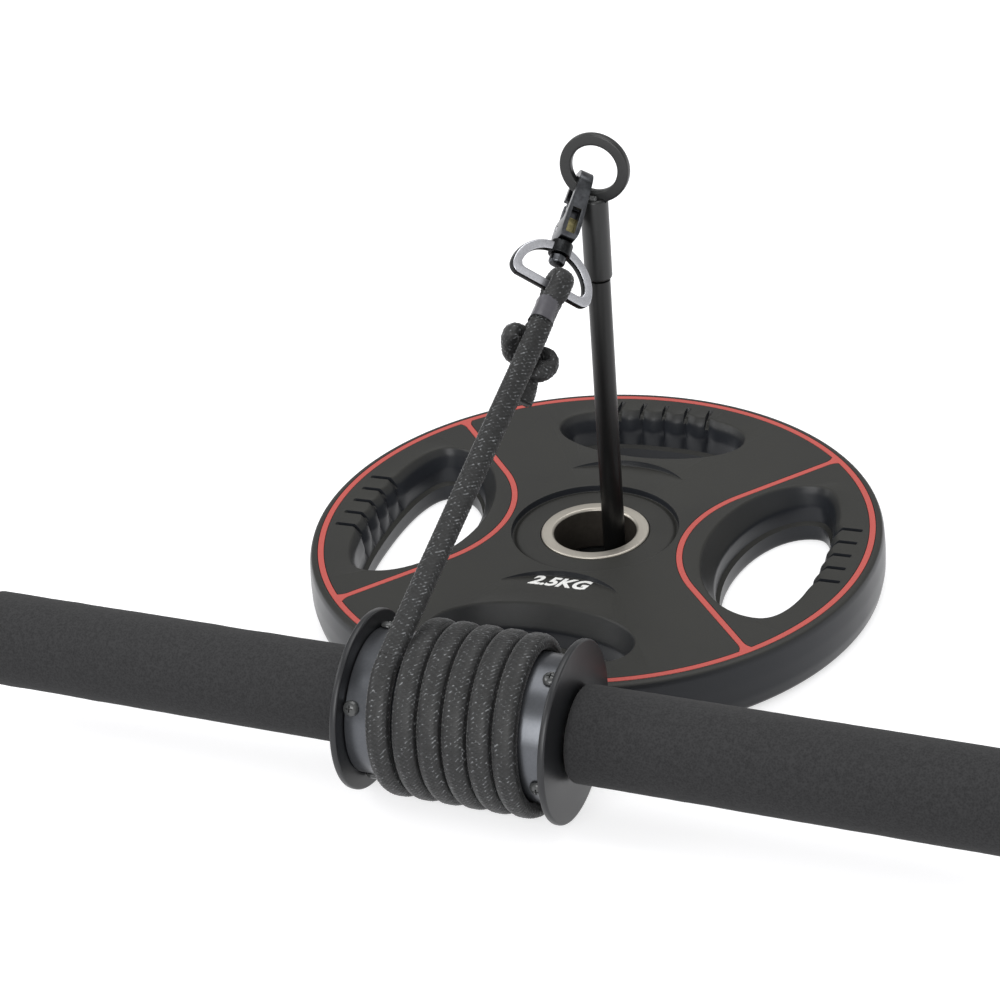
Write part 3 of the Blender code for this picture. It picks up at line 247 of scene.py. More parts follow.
# %% [markdown]
# ## The rope: facts first
#
# The rope is a flat-woven nylon braid, 8 mm wide and 5.4 mm thick. It leaves the top of the drum,
# runs straight up to a shrunk sleeve, bends round the D ring's bar, comes back through the sleeve
# and ends in a knot with a short tail. It is under tension, so the run is a straight line, and the
# rest of its length is wound on the drum. The route uses the same numbers as the CAD model.

# %% The places that the rope runs between
ROPE_WIDTH, ROPE_THICKNESS, FIT = 8.0 * MM, 5.4 * MM, 0.3 * MM
DRUM_RADIUS = 24.8 * MM
WINDING_RADIUS = DRUM_RADIUS + FIT + ROPE_THICKNESS / 2
ROLLER_CENTRE = sum(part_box("bar_tube"), Vector()) / 2
EYE_CENTRE = sum(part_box("eye_ring"), Vector()) / 2
EYE_OUTER, EYE_INNER = 12.8 * MM, 8.6 * MM
CONTACT_ANGLE = math.radians(-125.5)
towards = Vector((math.cos(CONTACT_ANGLE), 0, math.sin(CONTACT_ANGLE)))
CONTACT = EYE_CENTRE + towards * (EYE_OUTER + EYE_INNER) / 2
WINDING_START, WINDING_PITCH, WINDING_LEAD, WINDING_TURNS = -22.6 * MM, 8.75 * MM, 0.9 * MM, 5.42
rise = CONTACT.z - ROLLER_CENTRE.z
run = CONTACT.y - ROLLER_CENTRE.y
TANGENT = math.acos(WINDING_RADIUS / math.hypot(rise, run)) - math.atan2(run, rise)
outwards = Vector((0, -math.sin(TANGENT), math.cos(TANGENT)))
LEAVES_DRUM = ROLLER_CENTRE + outwards * WINDING_RADIUS + Vector((WINDING_START, 0, 0))
ROPE_WAY = (LEAVES_DRUM - CONTACT).normalized()
DOWN = (LEAVES_DRUM + Vector((15.0 * MM, 0, 0)) - CONTACT).normalized()
print("from the drum to the eye ring in mm:", round((LEAVES_DRUM - CONTACT).length / MM, 1))


# %% The chain's frames: each hangs from where the hook holds the ring
def axes_at(origin, x_axis, z_axis):
    """A matrix whose +Z is z_axis, and whose +X lies as near x_axis as it can."""
    z = z_axis.normalized()
    x = (x_axis - z * x_axis.dot(z)).normalized()
    return Matrix.Translation(origin) @ Matrix((x, z.cross(x), z)).transposed().to_4x4()


SWIVEL_TURN, HOOK_TURN = math.radians(47.0), math.radians(-5)
chain = axes_at(CONTACT, Vector((1, 0, 0)), -DOWN)
ring_wire = Vector((-math.sin(CONTACT_ANGLE), 0, math.cos(CONTACT_ANGLE)))
hook_place = axes_at(CONTACT, Matrix.Rotation(HOOK_TURN, 3, DOWN) @ ring_wire, -DOWN)
bar_heading = chain.to_3x3() @ Vector((math.cos(SWIVEL_TURN), math.sin(SWIVEL_TURN), 0))
swivel_place = axes_at(CONTACT, bar_heading, -DOWN)
roller_place = axes_at(ROLLER_CENTRE, Vector((0, 0, -1)), Vector((1, 0, 0)))
print("the chain hangs at", round(math.degrees(DOWN.angle(Vector((0, 0, -1)))), 1), "degrees from upright")

# %% [markdown]
# ## A braid that follows any path
#
# A braid is two families of strands that wind round the rope in opposite directions and cross over
# two and under two, which shows as chevrons along the rope. The pattern depends only on how far
# round and how far along a point is, so Geometry Nodes can make it on any path: a poly line comes
# in, a tube goes along it, and each point moves out by the height of the strand that lies on top.
# The line carries two attributes: wide says which way the rope's broad side faces, and squeeze
# how much of its full size the rope keeps, because a tight sleeve or a knot's end draws it in.

# %% The tree's inputs
BRAID_SIZES = {
    "Width": ROPE_WIDTH + 0.3 * MM,
    "Thickness": ROPE_THICKNESS + 0.1 * MM,
    "Strands": 12.0,
    "Lay length": 18.0 * MM,
    "Relief": 0.55 * MM,
    "Step": 0.45 * MM,
    "Sides": 44,
}
numbers = {title.replace(" ", "_"): "Float" for title in BRAID_SIZES}
numbers["Sides"] = "Int"
braid, given = new_tree("braid_along_path", "Rope", Path="Geometry", **numbers, Finish="Material")
print("braid inputs:", [title for title in given.keys() if title])


# %% The line becomes a curve that knows its length and its broad side
def noted(geometry, title, value):
    """Keeps a number on a geometry's points, for nodes further on."""
    node = add(braid, "GeometryNodeCaptureAttribute")
    node.capture_items.new("FLOAT", title)
    braid.links.new(geometry, node.inputs["Geometry"])
    braid.links.new(value, node.inputs[title])
    return node.outputs["Geometry"], node.outputs[title]


def stored(title, kind):
    """An attribute that comes in with the line."""
    node = add(braid, "GeometryNodeInputNamedAttribute", {"Name": title}, data_type=kind)
    return node.outputs["Attribute"]


line = add(braid, "GeometryNodeMeshToCurve", {"Mesh": given["Path"]}).outputs[0]
spacing = {"Curve": line, "Length": given["Step"]}
even = add(braid, "GeometryNodeResampleCurve", spacing, mode="LENGTH").outputs[0]
broad_side = {"Curve": even, "Normal": stored("wide", "FLOAT_VECTOR")}
facing = add(braid, "GeometryNodeSetCurveNormal", broad_side, mode="FREE").outputs[0]
line_place = add(braid, "GeometryNodeSplineParameter")
path_line, along = noted(facing, "along", line_place.outputs["Length"])
print("so far:", len(braid.nodes), "nodes")

# %% The section is a soft-cornered oval, swept along the line
OVAL_POWER = 0.86
circle = add(braid, "GeometryNodeCurvePrimitiveCircle", {"Resolution": given["Sides"], "Radius": 1.0})
ring_share = add(braid, "GeometryNodeSplineParameter").outputs["Factor"]
section, around = noted(circle.outputs[0], "around", ring_share)
turn = calc(braid, "MULTIPLY", ring_share, 2 * math.pi)
half_sides = []
for wave, size in (("COSINE", "Width"), ("SINE", "Thickness")):
    swing = calc(braid, wave, turn)
    soft = calc(braid, "POWER", calc(braid, "ABSOLUTE", swing), OVAL_POWER)
    signed = calc(braid, "MULTIPLY", soft, calc(braid, "SIGN", swing))
    half_sides.append(calc(braid, "MULTIPLY", signed, calc(braid, "MULTIPLY", given[size], 0.5)))
corner = add(braid, "ShaderNodeCombineXYZ", {"X": half_sides[0], "Y": half_sides[1]})
oval = add(braid, "GeometryNodeSetPosition", {"Geometry": section, "Position": corner.outputs[0]})
sweep = {"Curve": path_line, "Profile Curve": oval.outputs[0], "Fill Caps": True}
sweep["Scale"] = stored("squeeze", "FLOAT")
tube = add(braid, "GeometryNodeCurveToMesh", sweep).outputs[0]
print("so far:", len(braid.nodes), "nodes")

# %% Two counters, one for each family of strands, and which family is on top
per_turn = calc(braid, "DIVIDE", along, given["Lay length"])
counters = []
for direction in ("ADD", "SUBTRACT"):
    count = calc(braid, "MULTIPLY", calc(braid, direction, around, per_turn), given["Strands"])
    across = calc(braid, "MULTIPLY", calc(braid, "FRACT", count), math.pi)
    counters.append((calc(braid, "FLOOR", count), calc(braid, "SINE", across)))
total = calc(braid, "ADD", counters[0][0], counters[1][0])
first_on_top = calc(braid, "LESS_THAN", calc(braid, "FLOORED_MODULO", total, 4.0), 1.5)
crowns = []
for other, chosen in ((1, 0), (0, 1)):
    choice = {"Factor": first_on_top, "A": counters[other][1], "B": counters[chosen][1]}
    crowns.append(add(braid, "ShaderNodeMix", choice, data_type="FLOAT").outputs["Result"])
top, under = crowns
height = calc(braid, "MULTIPLY", top, calc(braid, "MULTIPLY_ADD", under, 0.35, 0.65))
print("so far:", len(braid.nodes), "nodes")

# %% The strands stand out of the tube, and the height stays on it for the material to read
MEAN_HEIGHT = 0.72
lift = calc(braid, "MULTIPLY", calc(braid, "SUBTRACT", height, MEAN_HEIGHT), given["Relief"])
outward = add(braid, "GeometryNodeInputNormal").outputs[0]
offset = add(braid, "ShaderNodeVectorMath", {0: outward, "Scale": lift}, operation="SCALE")
raised = add(braid, "GeometryNodeSetPosition", {"Geometry": tube, "Offset": offset.outputs[0]})
note = {"Geometry": raised.outputs[0], "Name": "strand", "Value": height}
strand = add(braid, "GeometryNodeStoreNamedAttribute", note, data_type="FLOAT", domain="POINT")
end_tree(braid, strand.outputs[0], given["Finish"])

# %% [markdown]
# ### What the braid is made of
#
# Black nylon filament yarn, braided dry. The yarn itself is nearly black. The crown of each strand
# gets a painted grey highlight and the gaps get painted shade, both driven by the height that the
# tree stored, and a noise of 0.4 mm stands for the single filaments, which at 0.03 mm are too fine
# to draw.

# %% Braided nylon yarn
nylon_braid, tree, shader = surface("braided_nylon_yarn", 0.55, Sheen_Weight=0.15, Sheen_Roughness=0.4)
crown = add(tree, "ShaderNodeAttribute", attribute_name="strand").outputs["Fac"]
place = on_object(tree)
# Painted highlight on the strands' crowns and painted shade in the gaps, from the stored height.
light = calc(tree, "MULTIPLY", crown, waves(tree, place, 700.0, 1.0))
shade = ramp(tree, light, (0.18, "050505"), (0.41, "121314"), (0.6, "6e7072"))
colour_and_bump(tree, shader, shade, waves(tree, place, 2500.0, 2.0), 0.5, 0.15 * MM)


# %% Putting a finished mesh in the scene
def finished(name, mesh, body, replaces=(), sharp=35.0):
    """A piece at the origin with its place in its mesh, riding on its body for the nodes it stands for."""
    mesh.shade_smooth()
    mesh.set_sharp_from_angle(angle=math.radians(sharp))
    obj = placed(name, mesh)
    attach(obj, body)
    if replaces:
        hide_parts(*replaces)
    print(f"{name}: {sum(len(p.vertices) - 2 for p in mesh.polygons)} triangles")
    return obj


# %% A braided rope along a route
def braided(name, path, wide_axes, squeeze=None, **sizes):
    """Runs a path through the braid tree and returns the rope's mesh."""
    mesh = poly_line(name, path)
    facings = mesh.attributes.new("wide", "FLOAT_VECTOR", "POINT")
    facings.data.foreach_set("vector", [x for axis in wide_axes for x in axis])
    scales = mesh.attributes.new("squeeze", "FLOAT", "POINT")
    scales.data.foreach_set("value", squeeze or [1.0] * len(path))
    return grown(braid, mesh, {**BRAID_SIZES, **sizes, "Finish": nylon_braid})


def smooth_route(points, steps):
    """A Catmull-Rom curve through a route's points."""
    route = [points[0] * 2 - points[1], *points, points[-1] * 2 - points[-2]]
    path = []
    for a, b, c, d in zip(route, route[1:], route[2:], route[3:]):
        heading, bend, twist = c - a, a * 2 - b * 5 + c * 4 - d, b * 3 - a - c * 3 + d
        for i in range(steps):
            s = i / steps
            path.append((b * 2 + heading * s + bend * s**2 + twist * s**3) / 2)
    return path + [points[-1]]


# %% [markdown]
# ### The rope's end
#
# At its end the rope is doubled round the bar of the D ring. The sleeve grips both strands, and the
# free end is tied once behind the run. Its spots are written in millimetres in the swivel's frame,
# with the ring's bar at the top. The run leans away from that frame, so everything below the bar is
# moved sideways in step with it, and a curve through the spots makes the bends round.

# %% The free run: up the chain, round the bar, back through the sleeve, into the knot
D_BAR, D_BAND, D_THICKNESS = 40.2 * MM, 3.3 * MM, 3.0 * MM
STRAND = (ROPE_THICKNESS + 0.5 * MM) / 2
SHRINK_TOP, SHRINK_BOTTOM = 45.6 * MM, 54.0 * MM
HELD, HELD_SIDE, HELD_SIZE = 2.3 * MM, 1.2 * MM, 0.93
LOOP_SIDE, LEAN_BLEND = 1.8 * MM, 4.0 * MM
drum_end = swivel_place.inverted() @ (LEAVES_DRUM - ROPE_WAY * (ROPE_THICKNESS + FIT))
WAY_X = (drum_end.x - LOOP_SIDE) / (-drum_end.z - D_BAR)
WAY_Y = (drum_end.y + STRAND) / (-drum_end.z - D_BAR)


def in_line(spot):
    """A spot of the rope's end, moved so that sleeve, knot and tail lie in line with the run."""
    below = max(-spot.z - D_BAR, 0.0)
    below = below**2 / (2 * LEAN_BLEND) if below < LEAN_BLEND else below - LEAN_BLEND / 2
    return Vector((spot.x + LOOP_SIDE + WAY_X * below, spot.y + WAY_Y * below, spot.z))


run_end = in_line(Vector((0, -STRAND, -62.0 * MM)))
straight_run = [drum_end.lerp(run_end, i / 12) for i in range(12)]
reach = (math.hypot(D_BAND, D_THICKNESS) / 2 + FIT + ROPE_THICKNESS / 2) / MM
loop_spots = [
    (0, -2.95, -62.0), (0, -2.8, -58.0), (0, -2.3, -54.0),
    (0, -2.3, -50.0), (0, -2.5, -46.2), (0, -4.7, -42.2),
]
for i in range(1, 8):
    angle = math.pi * i / 8
    loop_spots.append((0.3 * i, -reach * math.cos(angle), -40.2 + reach * math.sin(angle)))
loop_spots += [
    (2.4, 4.7, -42.2), (1.7, 2.5, -46.2), (1.2, 2.3, -50.0), (1.2, 2.3, -54.0), (1.6, 4.0, -56.6),
    (2.4, 4.8, -60.5), (4.2, 4.8, -66.0), (6.4, 4.4, -72.0), (7.4, 4.0, -77.0), (7.6, 3.8, -81.0),
]
local_route = straight_run + smooth_route([in_line(Vector(spot) * MM) for spot in loop_spots], 5)
route = [swivel_place @ point for point in local_route]
print("route:", len(route), "points")

# %% Which way its broad side faces, and where the sleeve draws it in
SLEEVE_RAMP = 1.5 * MM
turned_frame = swivel_place.to_3x3()
bar, drum_side = Vector((1, 0, 0)), turned_frame.inverted() @ Vector((1, 0, 0))
broad = [turned_frame @ drum_side.lerp(bar, min(i / 12, 1.0)) for i in range(len(local_route))]
held = []
for spot in local_route:
    outside = max(0.0, abs(spot.z + (SHRINK_TOP + SHRINK_BOTTOM) / 2) - (SHRINK_BOTTOM - SHRINK_TOP) / 2)
    held.append(HELD_SIZE + (1 - HELD_SIZE) * min(1.0, outside / SLEEVE_RAMP))
run_mesh = braided("rope_braid", route, broad, held)
rope = finished("rope_braid", run_mesh, "rope", ["rope_run"], sharp=180.0)

# %% The knot's turn: a loop on each side of the run, and both ends tucked in behind it
knot_spots = [
    (1.0, 3.6, -59.0), (-3.0, 3.8, -59.4), (-5.4, 2.6, -60.3), (-5.9, 2.4, -61.6), (-4.2, 4.6, -63.0),
    (-0.6, 8.2, -64.0), (4.8, 9.4, -62.8), (8.4, 7.0, -61.4), (10.2, 4.2, -62.4), (10.6, 2.4, -65.2),
    (9.4, 2.2, -68.0), (7.0, 3.4, -69.4), (3.4, 4.8, -69.2),
]
turn_path = smooth_route([in_line(Vector(spot) * MM) for spot in knot_spots], 6)
turn_path = [swivel_place @ spot for spot in turn_path]
last = len(turn_path) - 1
knot_axis = [turned_frame @ Vector((0.2, 1.0, 0.35))] * len(turn_path)
draw_in = [min(1.0, 0.45 + 0.12 * min(i, last - i)) for i in range(len(turn_path))]
knot_mesh = braided("knot_turn", turn_path, knot_axis, draw_in, Width=8.6 * MM, Thickness=7.4 * MM)
knot = finished("knot_turn", knot_mesh, "rope", ["rope_knot"], sharp=180.0)

# %% [markdown]
# ### The turns on the drum
#
# The winding is one helix, a rope's width and a little more from turn to turn. It starts where the
# free run touches the drum, and the last turn dives through a hole in the drum's wall, where the
# rope is tied inside. One path goes through the same braid tree as the free run.

# %% One helix, and the way down through the wall
WINDING_STEPS, DIVE_SWEEP, DIVE_DEPTH = 48, math.radians(40.0), 6.0 * MM
WINDING_END = WINDING_START + WINDING_PITCH * WINDING_TURNS + WINDING_LEAD


def on_drum(angle, radius, x):
    """The point at an angle, a radius and a place along the drum's axis."""
    return roller_place @ Vector((-radius * math.cos(angle), -radius * math.sin(angle), x))


def diving(share):
    """A point of the rope on its way through the drum's wall."""
    angle = TANGENT + 2 * math.pi * WINDING_TURNS + DIVE_SWEEP * share
    x = WINDING_END + WINDING_PITCH * DIVE_SWEEP / (2 * math.pi) * share
    return on_drum(angle, WINDING_RADIUS - DIVE_DEPTH * share**2, x)


steps = math.ceil(WINDING_STEPS * WINDING_TURNS)
turns_path = [on_drum(TANGENT, WINDING_RADIUS, WINDING_START) - ROPE_WAY * (ROPE_THICKNESS + 1.2 * MM)]
for i in range(steps + 1):
    turns = WINDING_TURNS * i / steps
    x = WINDING_START + WINDING_PITCH * turns + WINDING_LEAD * min(turns / 0.8, 1.0)
    turns_path.append(on_drum(TANGENT + 2 * math.pi * turns, WINDING_RADIUS, x))
turns_path += [diving(i / 8) for i in range(1, 9)]
sideways = [Vector((1, 0, 0))] * len(turns_path)
winding_mesh = braided("rope_turns", turns_path, sideways, Step=0.5 * MM)
finished("rope_turns", winding_mesh, "roller", ["rope_winding"], sharp=180.0)
wound = sum((b - a).length for a, b in zip(turns_path, turns_path[1:]))
print("wound length in mm:", round(wound / MM))

# %% [markdown]
# ## Helpers for hard pieces
#
# Most of the hardware is turned on a lathe or cut from flat stock. A turned piece is a profile spun
# about an axis. A flat piece is a closed outline with a thickness. Real edges are never sharp, so
# one helper rounds every corner of a profile, and that thin round is what catches the light.


# %% Outlines
def rounded(points, radius, closed=True, steps=4):
    """The same outline with each corner rounded off by a small curve."""
    out = []
    for i, point in enumerate(points):
        here = Vector(point)
        if not closed and i in (0, len(points) - 1):
            out.append(tuple(here))
            continue
        back, ahead = Vector(points[i - 1]) - here, Vector(points[(i + 1) % len(points)]) - here
        reach = min(radius, back.length * 0.45, ahead.length * 0.45)
        a, b = here + back.normalized() * reach, here + ahead.normalized() * reach
        for k in range(steps + 1):
            t = k / steps
            out.append(tuple(a * (1 - t) ** 2 + here * 2 * t * (1 - t) + b * t**2))
    return out


def arc(centre, radius, start, end, steps):
    """Points of an arc in a plane."""
    angles = [start + (end - start) * i / steps for i in range(steps + 1)]
    return [(centre[0] + radius * math.cos(a), centre[1] + radius * math.sin(a)) for a in angles]


# %% Turned pieces
def from_bmesh(bm, place=None):
    """Ends a bmesh's work: moved to its place, faces pointing out, as a mesh."""
    if place is not None:
        bmesh.ops.transform(bm, matrix=place, verts=bm.verts)
    bmesh.ops.recalc_face_normals(bm, faces=bm.faces)
    mesh = bpy.data.meshes.new("mesh")
    bm.to_mesh(mesh)
    bm.free()
    return mesh


def turned(profile, segments=96, place=None):
    """A solid of revolution about Z through (radius, height) points, closed off the axis."""
    bm = bmesh.new()
    angles = [2 * math.pi * i / segments for i in range(segments)]
    rings = []
    for radius, z in profile:
        around = angles if radius > 1e-7 else [0.0]
        rings.append([bm.verts.new((radius * math.cos(a), radius * math.sin(a), z)) for a in around])
    pairs = list(zip(rings, rings[1:]))
    if min(profile[0][0], profile[-1][0]) > 1e-7:
        pairs.append((rings[-1], rings[0]))
    for first, second in pairs:
        for i in range(segments):
            j = (i + 1) % segments
            corners = [first[i % len(first)], second[i % len(second)]]
            corners += [second[j % len(second)], first[j % len(first)]]
            bm.faces.new(list(dict.fromkeys(corners)))
    return from_bmesh(bm, place)


# %% Lofts
def lofted(rings, place=None, ends=True):
    """A solid through rings of points, with flat ends, or with its last ring joined to its first."""
    bm = bmesh.new()
    loops = [[bm.verts.new(point) for point in ring] for ring in rings]
    for first, second in zip(loops, loops[1:] if ends else loops[1:] + loops[:1]):
        for i in range(len(first)):
            bm.faces.new((first[i - 1], first[i], second[i], second[i - 1]))
    if ends:
        bm.faces.new(loops[0])
        bm.faces.new(loops[-1])
    return from_bmesh(bm, place)


# %% Flat pieces and blocks
def flat_piece(outlines, half, axis="Z", edge=0.0, edge_steps=3):
    """Closed outlines as a plate with rounded edges, lying across the axis given."""
    data = bpy.data.curves.new("outline", "CURVE")
    data.dimensions, data.fill_mode = "2D", "BOTH"
    data.extrude, data.bevel_depth, data.bevel_resolution = half - edge, edge, edge_steps
    data.offset = -edge
    for outline in outlines:
        spline = data.splines.new("POLY")
        spline.points.add(len(outline) - 1)
        for point, (u, v) in zip(spline.points, outline):
            point.co = (u, v, 0.0, 1.0)
        spline.use_cyclic_u = True
    bm = bmesh.new()
    bm.from_mesh(evaluated(placed("outline", data)))
    bmesh.ops.remove_doubles(bm, verts=bm.verts, dist=0.002 * MM)
    stand = {
        "X": Matrix(((0, 0, 1), (1, 0, 0), (0, 1, 0))),
        "Y": Matrix(((1, 0, 0), (0, 0, -1), (0, 1, 0))),
        "Z": Matrix.Identity(3),
    }[axis]
    bmesh.ops.transform(bm, matrix=stand.to_4x4(), verts=bm.verts)
    return from_bmesh(bm)


def box_between(a, b):
    """A block between two corners."""
    bm = bmesh.new()
    size, middle = Vector(b) - Vector(a), (Vector(a) + Vector(b)) / 2
    bmesh.ops.create_cube(bm, size=1.0, matrix=Matrix.Translation(middle) @ Matrix.Diagonal((*size, 1)))
    return from_bmesh(bm)


# %% Cutting and softening
def carved(mesh, *cutters, operation="DIFFERENCE"):
    """The mesh after a Boolean with each cutter in turn."""
    obj = placed("carved", mesh)
    helpers = []
    for cutter in cutters:
        helper = placed("cutter", cutter)
        helpers.append(helper)
        step = obj.modifiers.new("cut", "BOOLEAN")
        step.operation, step.object, step.solver = operation, helper, "EXACT"
    mesh = evaluated(obj)
    for helper in helpers:
        bpy.data.objects.remove(helper, do_unlink=True)
    return mesh


def softened(mesh, width, segments=2, angle=30.0):
    """The mesh with its sharp edges rounded."""
    obj = placed("softened", mesh)
    step = obj.modifiers.new("round", "BEVEL")
    step.width, step.segments, step.limit_method = width, segments, "ANGLE"
    step.angle_limit = math.radians(angle)
    step.miter_outer = "MITER_ARC"
    step.use_clamp_overlap = True
    return evaluated(obj)


# %% Joining and painting
def joined(meshes):
    """Several meshes as one."""
    bm = bmesh.new()
    for mesh in meshes:
        bm.from_mesh(mesh)
    return from_bmesh(bm)


def painted(mesh, material, second=None, where=None):
    """The mesh with one material, and a second one on the faces that where says."""
    mesh.materials.clear()
    for one in (material, second) if second else (material,):
        mesh.materials.append(one)
    for polygon in mesh.polygons:
        polygon.material_index = int(bool(second and where(polygon)))
    return mesh


# %% [markdown]
# ## The metals
#
# Powder coat is a baked polymer film on steel: black, half gloss, with a faint orange peel of about
# a millimetre that bends each reflection. The rod has a smoother brushed-on paint. The bush in the
# plate is bare turned steel, so it shows fine lathe lines that run round it and stretch its
# highlight. The snap hook is a zinc casting with a black nickel plate, a mirror that has been
# tinted dark. The D ring is steel with satin nickel, and the small spring is brass. Most of them
# differ only in colour, gloss and the size of their waves, so one function makes them.

# %% Coats and plated metals
powder_coat = finish("black_powder_coat", "141515", "1c1d1d", 0.38, 0.0, 1.1, 0.05)
black_paint = finish(
    "smooth_black_paint", "070707", "0c0c0c", 0.34, 0.0, 2.5, 0.03, 0.2, Specular_IOR_Level=0.4
)
PLATING = {"metallic": 1.0, "depth": 0.02, "strength": 0.12, "ends": (0.3, 0.7)}
satin_nickel = finish("satin_nickel_plate", "b2b3b8", "cacbd0", 0.36, wave=0.5, **PLATING)
gunmetal_and_edge_shade = finish("gunmetal_plate", "232425", "2f3031", 0.3, wave=0.8, **PLATING)
black_nickel = finish("black_nickel_plate", "434447", "5a5c5f", 0.28, wave=2.2, **PLATING)
spring_brass = finish("spring_brass", "77704f", "989069", 0.4, wave=0.6, **PLATING)

# %% Bare turned steel
PLATE_X, PLATE_Y = -6.4 * MM, -2.8 * MM
turned_steel, tree, shader = surface("turned_steel", 0.42, 0.9, Anisotropic=0.3)
to_middle = {"Vector": on_object(tree), "Location": (-PLATE_X, -PLATE_Y, 0)}
apart = add(tree, "ShaderNodeSeparateXYZ", {0: add(tree, "ShaderNodeMapping", to_middle).outputs[0]})
flat = add(tree, "ShaderNodeCombineXYZ", {"X": apart.outputs["X"], "Y": apart.outputs["Y"]})
radius = add(tree, "ShaderNodeVectorMath", {0: flat.outputs[0]}, operation="LENGTH").outputs["Value"]
line_at = add(tree, "ShaderNodeCombineXYZ", {"X": calc(tree, "ADD", radius, apart.outputs["Z"])})
lathe = waves(tree, line_at.outputs[0], 4200.0)
tone = ramp(tree, lathe, (0.0, "a39e95"), (1.0, "bdb8ae"))
colour_and_bump(tree, shader, tone, lathe, 0.25, 0.03 * MM)

# %% [markdown]
# ## The loading pin
#
# A pin is a disc with a rod welded in its middle, a sleeve pressed on the rod's top and a flat ring
# welded into a notch in the sleeve. All four are turned profiles, with the coat on three and paint
# on the rod, which has a fine groove where the sleeve ends. The notch is the ring's own cylinder,
# cut out with a little room.

# %% Disc and rod
ROD_RADIUS, SLEEVE_RADIUS, SLEEVE_EDGE = 4.2 * MM, 5.0 * MM, 0.6 * MM
SLEEVE_BOTTOM, SLEEVE_TOP, ROD_TOP, ROD_FOOT = 126.0 * MM, 157.0 * MM, 149.7 * MM, 1.8 * MM
GROOVE_RADIUS = 3.2 * MM
RING_HALF, COATED = 1.5 * MM, "powder_coated_steel"
disc_profile = mm((0, 1.5), (4.3, 1.5), (4.3, 4), (23.9, 4), (24.5, 3.4), (24.5, 0.6), (23.9, 0), (0, 0))
disc = turned(rounded(disc_profile, 0.3 * MM, closed=False))
finished("pin_disc", painted(disc, powder_coat), "loading_pin", ["base_disc"])
rod_profile = [
    (0, ROD_TOP),
    (ROD_RADIUS, ROD_TOP),
    (ROD_RADIUS, SLEEVE_BOTTOM + 0.4 * MM),
    (GROOVE_RADIUS, SLEEVE_BOTTOM + 0.1 * MM),
    (GROOVE_RADIUS, SLEEVE_BOTTOM - 0.6 * MM),
    (ROD_RADIUS, SLEEVE_BOTTOM - 0.9 * MM),
    (ROD_RADIUS, ROD_FOOT),
    (0, ROD_FOOT),
]
rod = turned(rounded(rod_profile, 0.2 * MM, closed=False), 64)
finished("pin_shaft", painted(rod, black_paint), "loading_pin", ["pin_rod"])

# %% Sleeve and ring
sleeve_profile = [
    (0, SLEEVE_TOP),
    (SLEEVE_RADIUS - SLEEVE_EDGE, SLEEVE_TOP),
    (SLEEVE_RADIUS, SLEEVE_TOP - SLEEVE_EDGE),
    (SLEEVE_RADIUS, SLEEVE_BOTTOM + SLEEVE_EDGE),
    (SLEEVE_RADIUS - SLEEVE_EDGE / 2, SLEEVE_BOTTOM),
    (ROD_RADIUS + FIT, SLEEVE_BOTTOM),
    (ROD_RADIUS + FIT, ROD_TOP + FIT),
    (0, ROD_TOP + FIT),
]
upright = Matrix.Translation(EYE_CENTRE) @ Matrix.Rotation(math.radians(90), 4, "X")
room, seat = EYE_OUTER + FIT, RING_HALF + FIT
notch = turned([(0, seat), (room, seat), (room, -seat), (0, -seat)], 128, upright)
sleeve = carved(turned(rounded(sleeve_profile, 0.4 * MM, closed=False), 80), notch)
finished("pin_collar", painted(sleeve, powder_coat), "loading_pin", ["pin_sleeve"])
ring_section = [(EYE_INNER, RING_HALF), (EYE_OUTER, RING_HALF)]
ring_section += [(EYE_OUTER, -RING_HALF), (EYE_INNER, -RING_HALF)]
ring = turned(rounded(ring_section, 0.75 * MM), 128, upright)
finished("pin_eye", painted(ring, powder_coat), "loading_pin", ["eye_ring"])

# %% [markdown]
# ### Weld beads
#
# A weld is a row of small puddles that froze one after another, like fallen coins. Geometry Nodes
# lay flattened balls along a line, each a little into the last, so one tree makes the round fillet
# at the foot of the rod and the two short beads that hold the ring. The coat is glossier on these
# small round shapes, and on the screws, so they have a finish of their own, whose lighter grey is a
# painted highlight.

# %% A tree that lays ripples along a line
bead_takes = {"Line": "Geometry", "Ripples": "Int", "Ripple_size": "Vector", "Finish": "Material"}
weld, given = new_tree("weld_ripples", "Bead", **bead_takes)
curve = add(weld, "GeometryNodeMeshToCurve", {"Mesh": given["Line"]})
along_line = {"Curve": curve.outputs[0], "Count": given["Ripples"]}
spots = add(weld, "GeometryNodeCurveToPoints", along_line, mode="COUNT")
ball = add(weld, "GeometryNodeMeshUVSphere", {"Segments": 20, "Rings": 12, "Radius": 1.0})
ripple = {"Points": spots.outputs["Points"], "Instance": ball.outputs["Mesh"]}
ripple.update({"Rotation": spots.outputs["Rotation"], "Scale": given["Ripple size"]})
laid = add(weld, "GeometryNodeInstanceOnPoints", ripple)
end_tree(weld, laid.outputs[0], given["Finish"])

# %% Three beads on the pin
WELD_RADIUS, BEAD_SIDE, BEAD_HEIGHT = 5.3 * MM, 2.75 * MM, 157.4 * MM
# A lighter grey than the powder coat: a painted highlight on the beads and the screws.
coat_with_painted_highlight = finish("powder_coated_weld", "383939", "4a4b4b", 0.2, 0.0, 0.8, 0.06)


def bead_along(points, ripples, size):
    """A weld bead's mesh along points."""
    values = {"Ripples": ripples, "Ripple size": size, "Finish": coat_with_painted_highlight}
    return grown(weld, poly_line("bead", points), values)


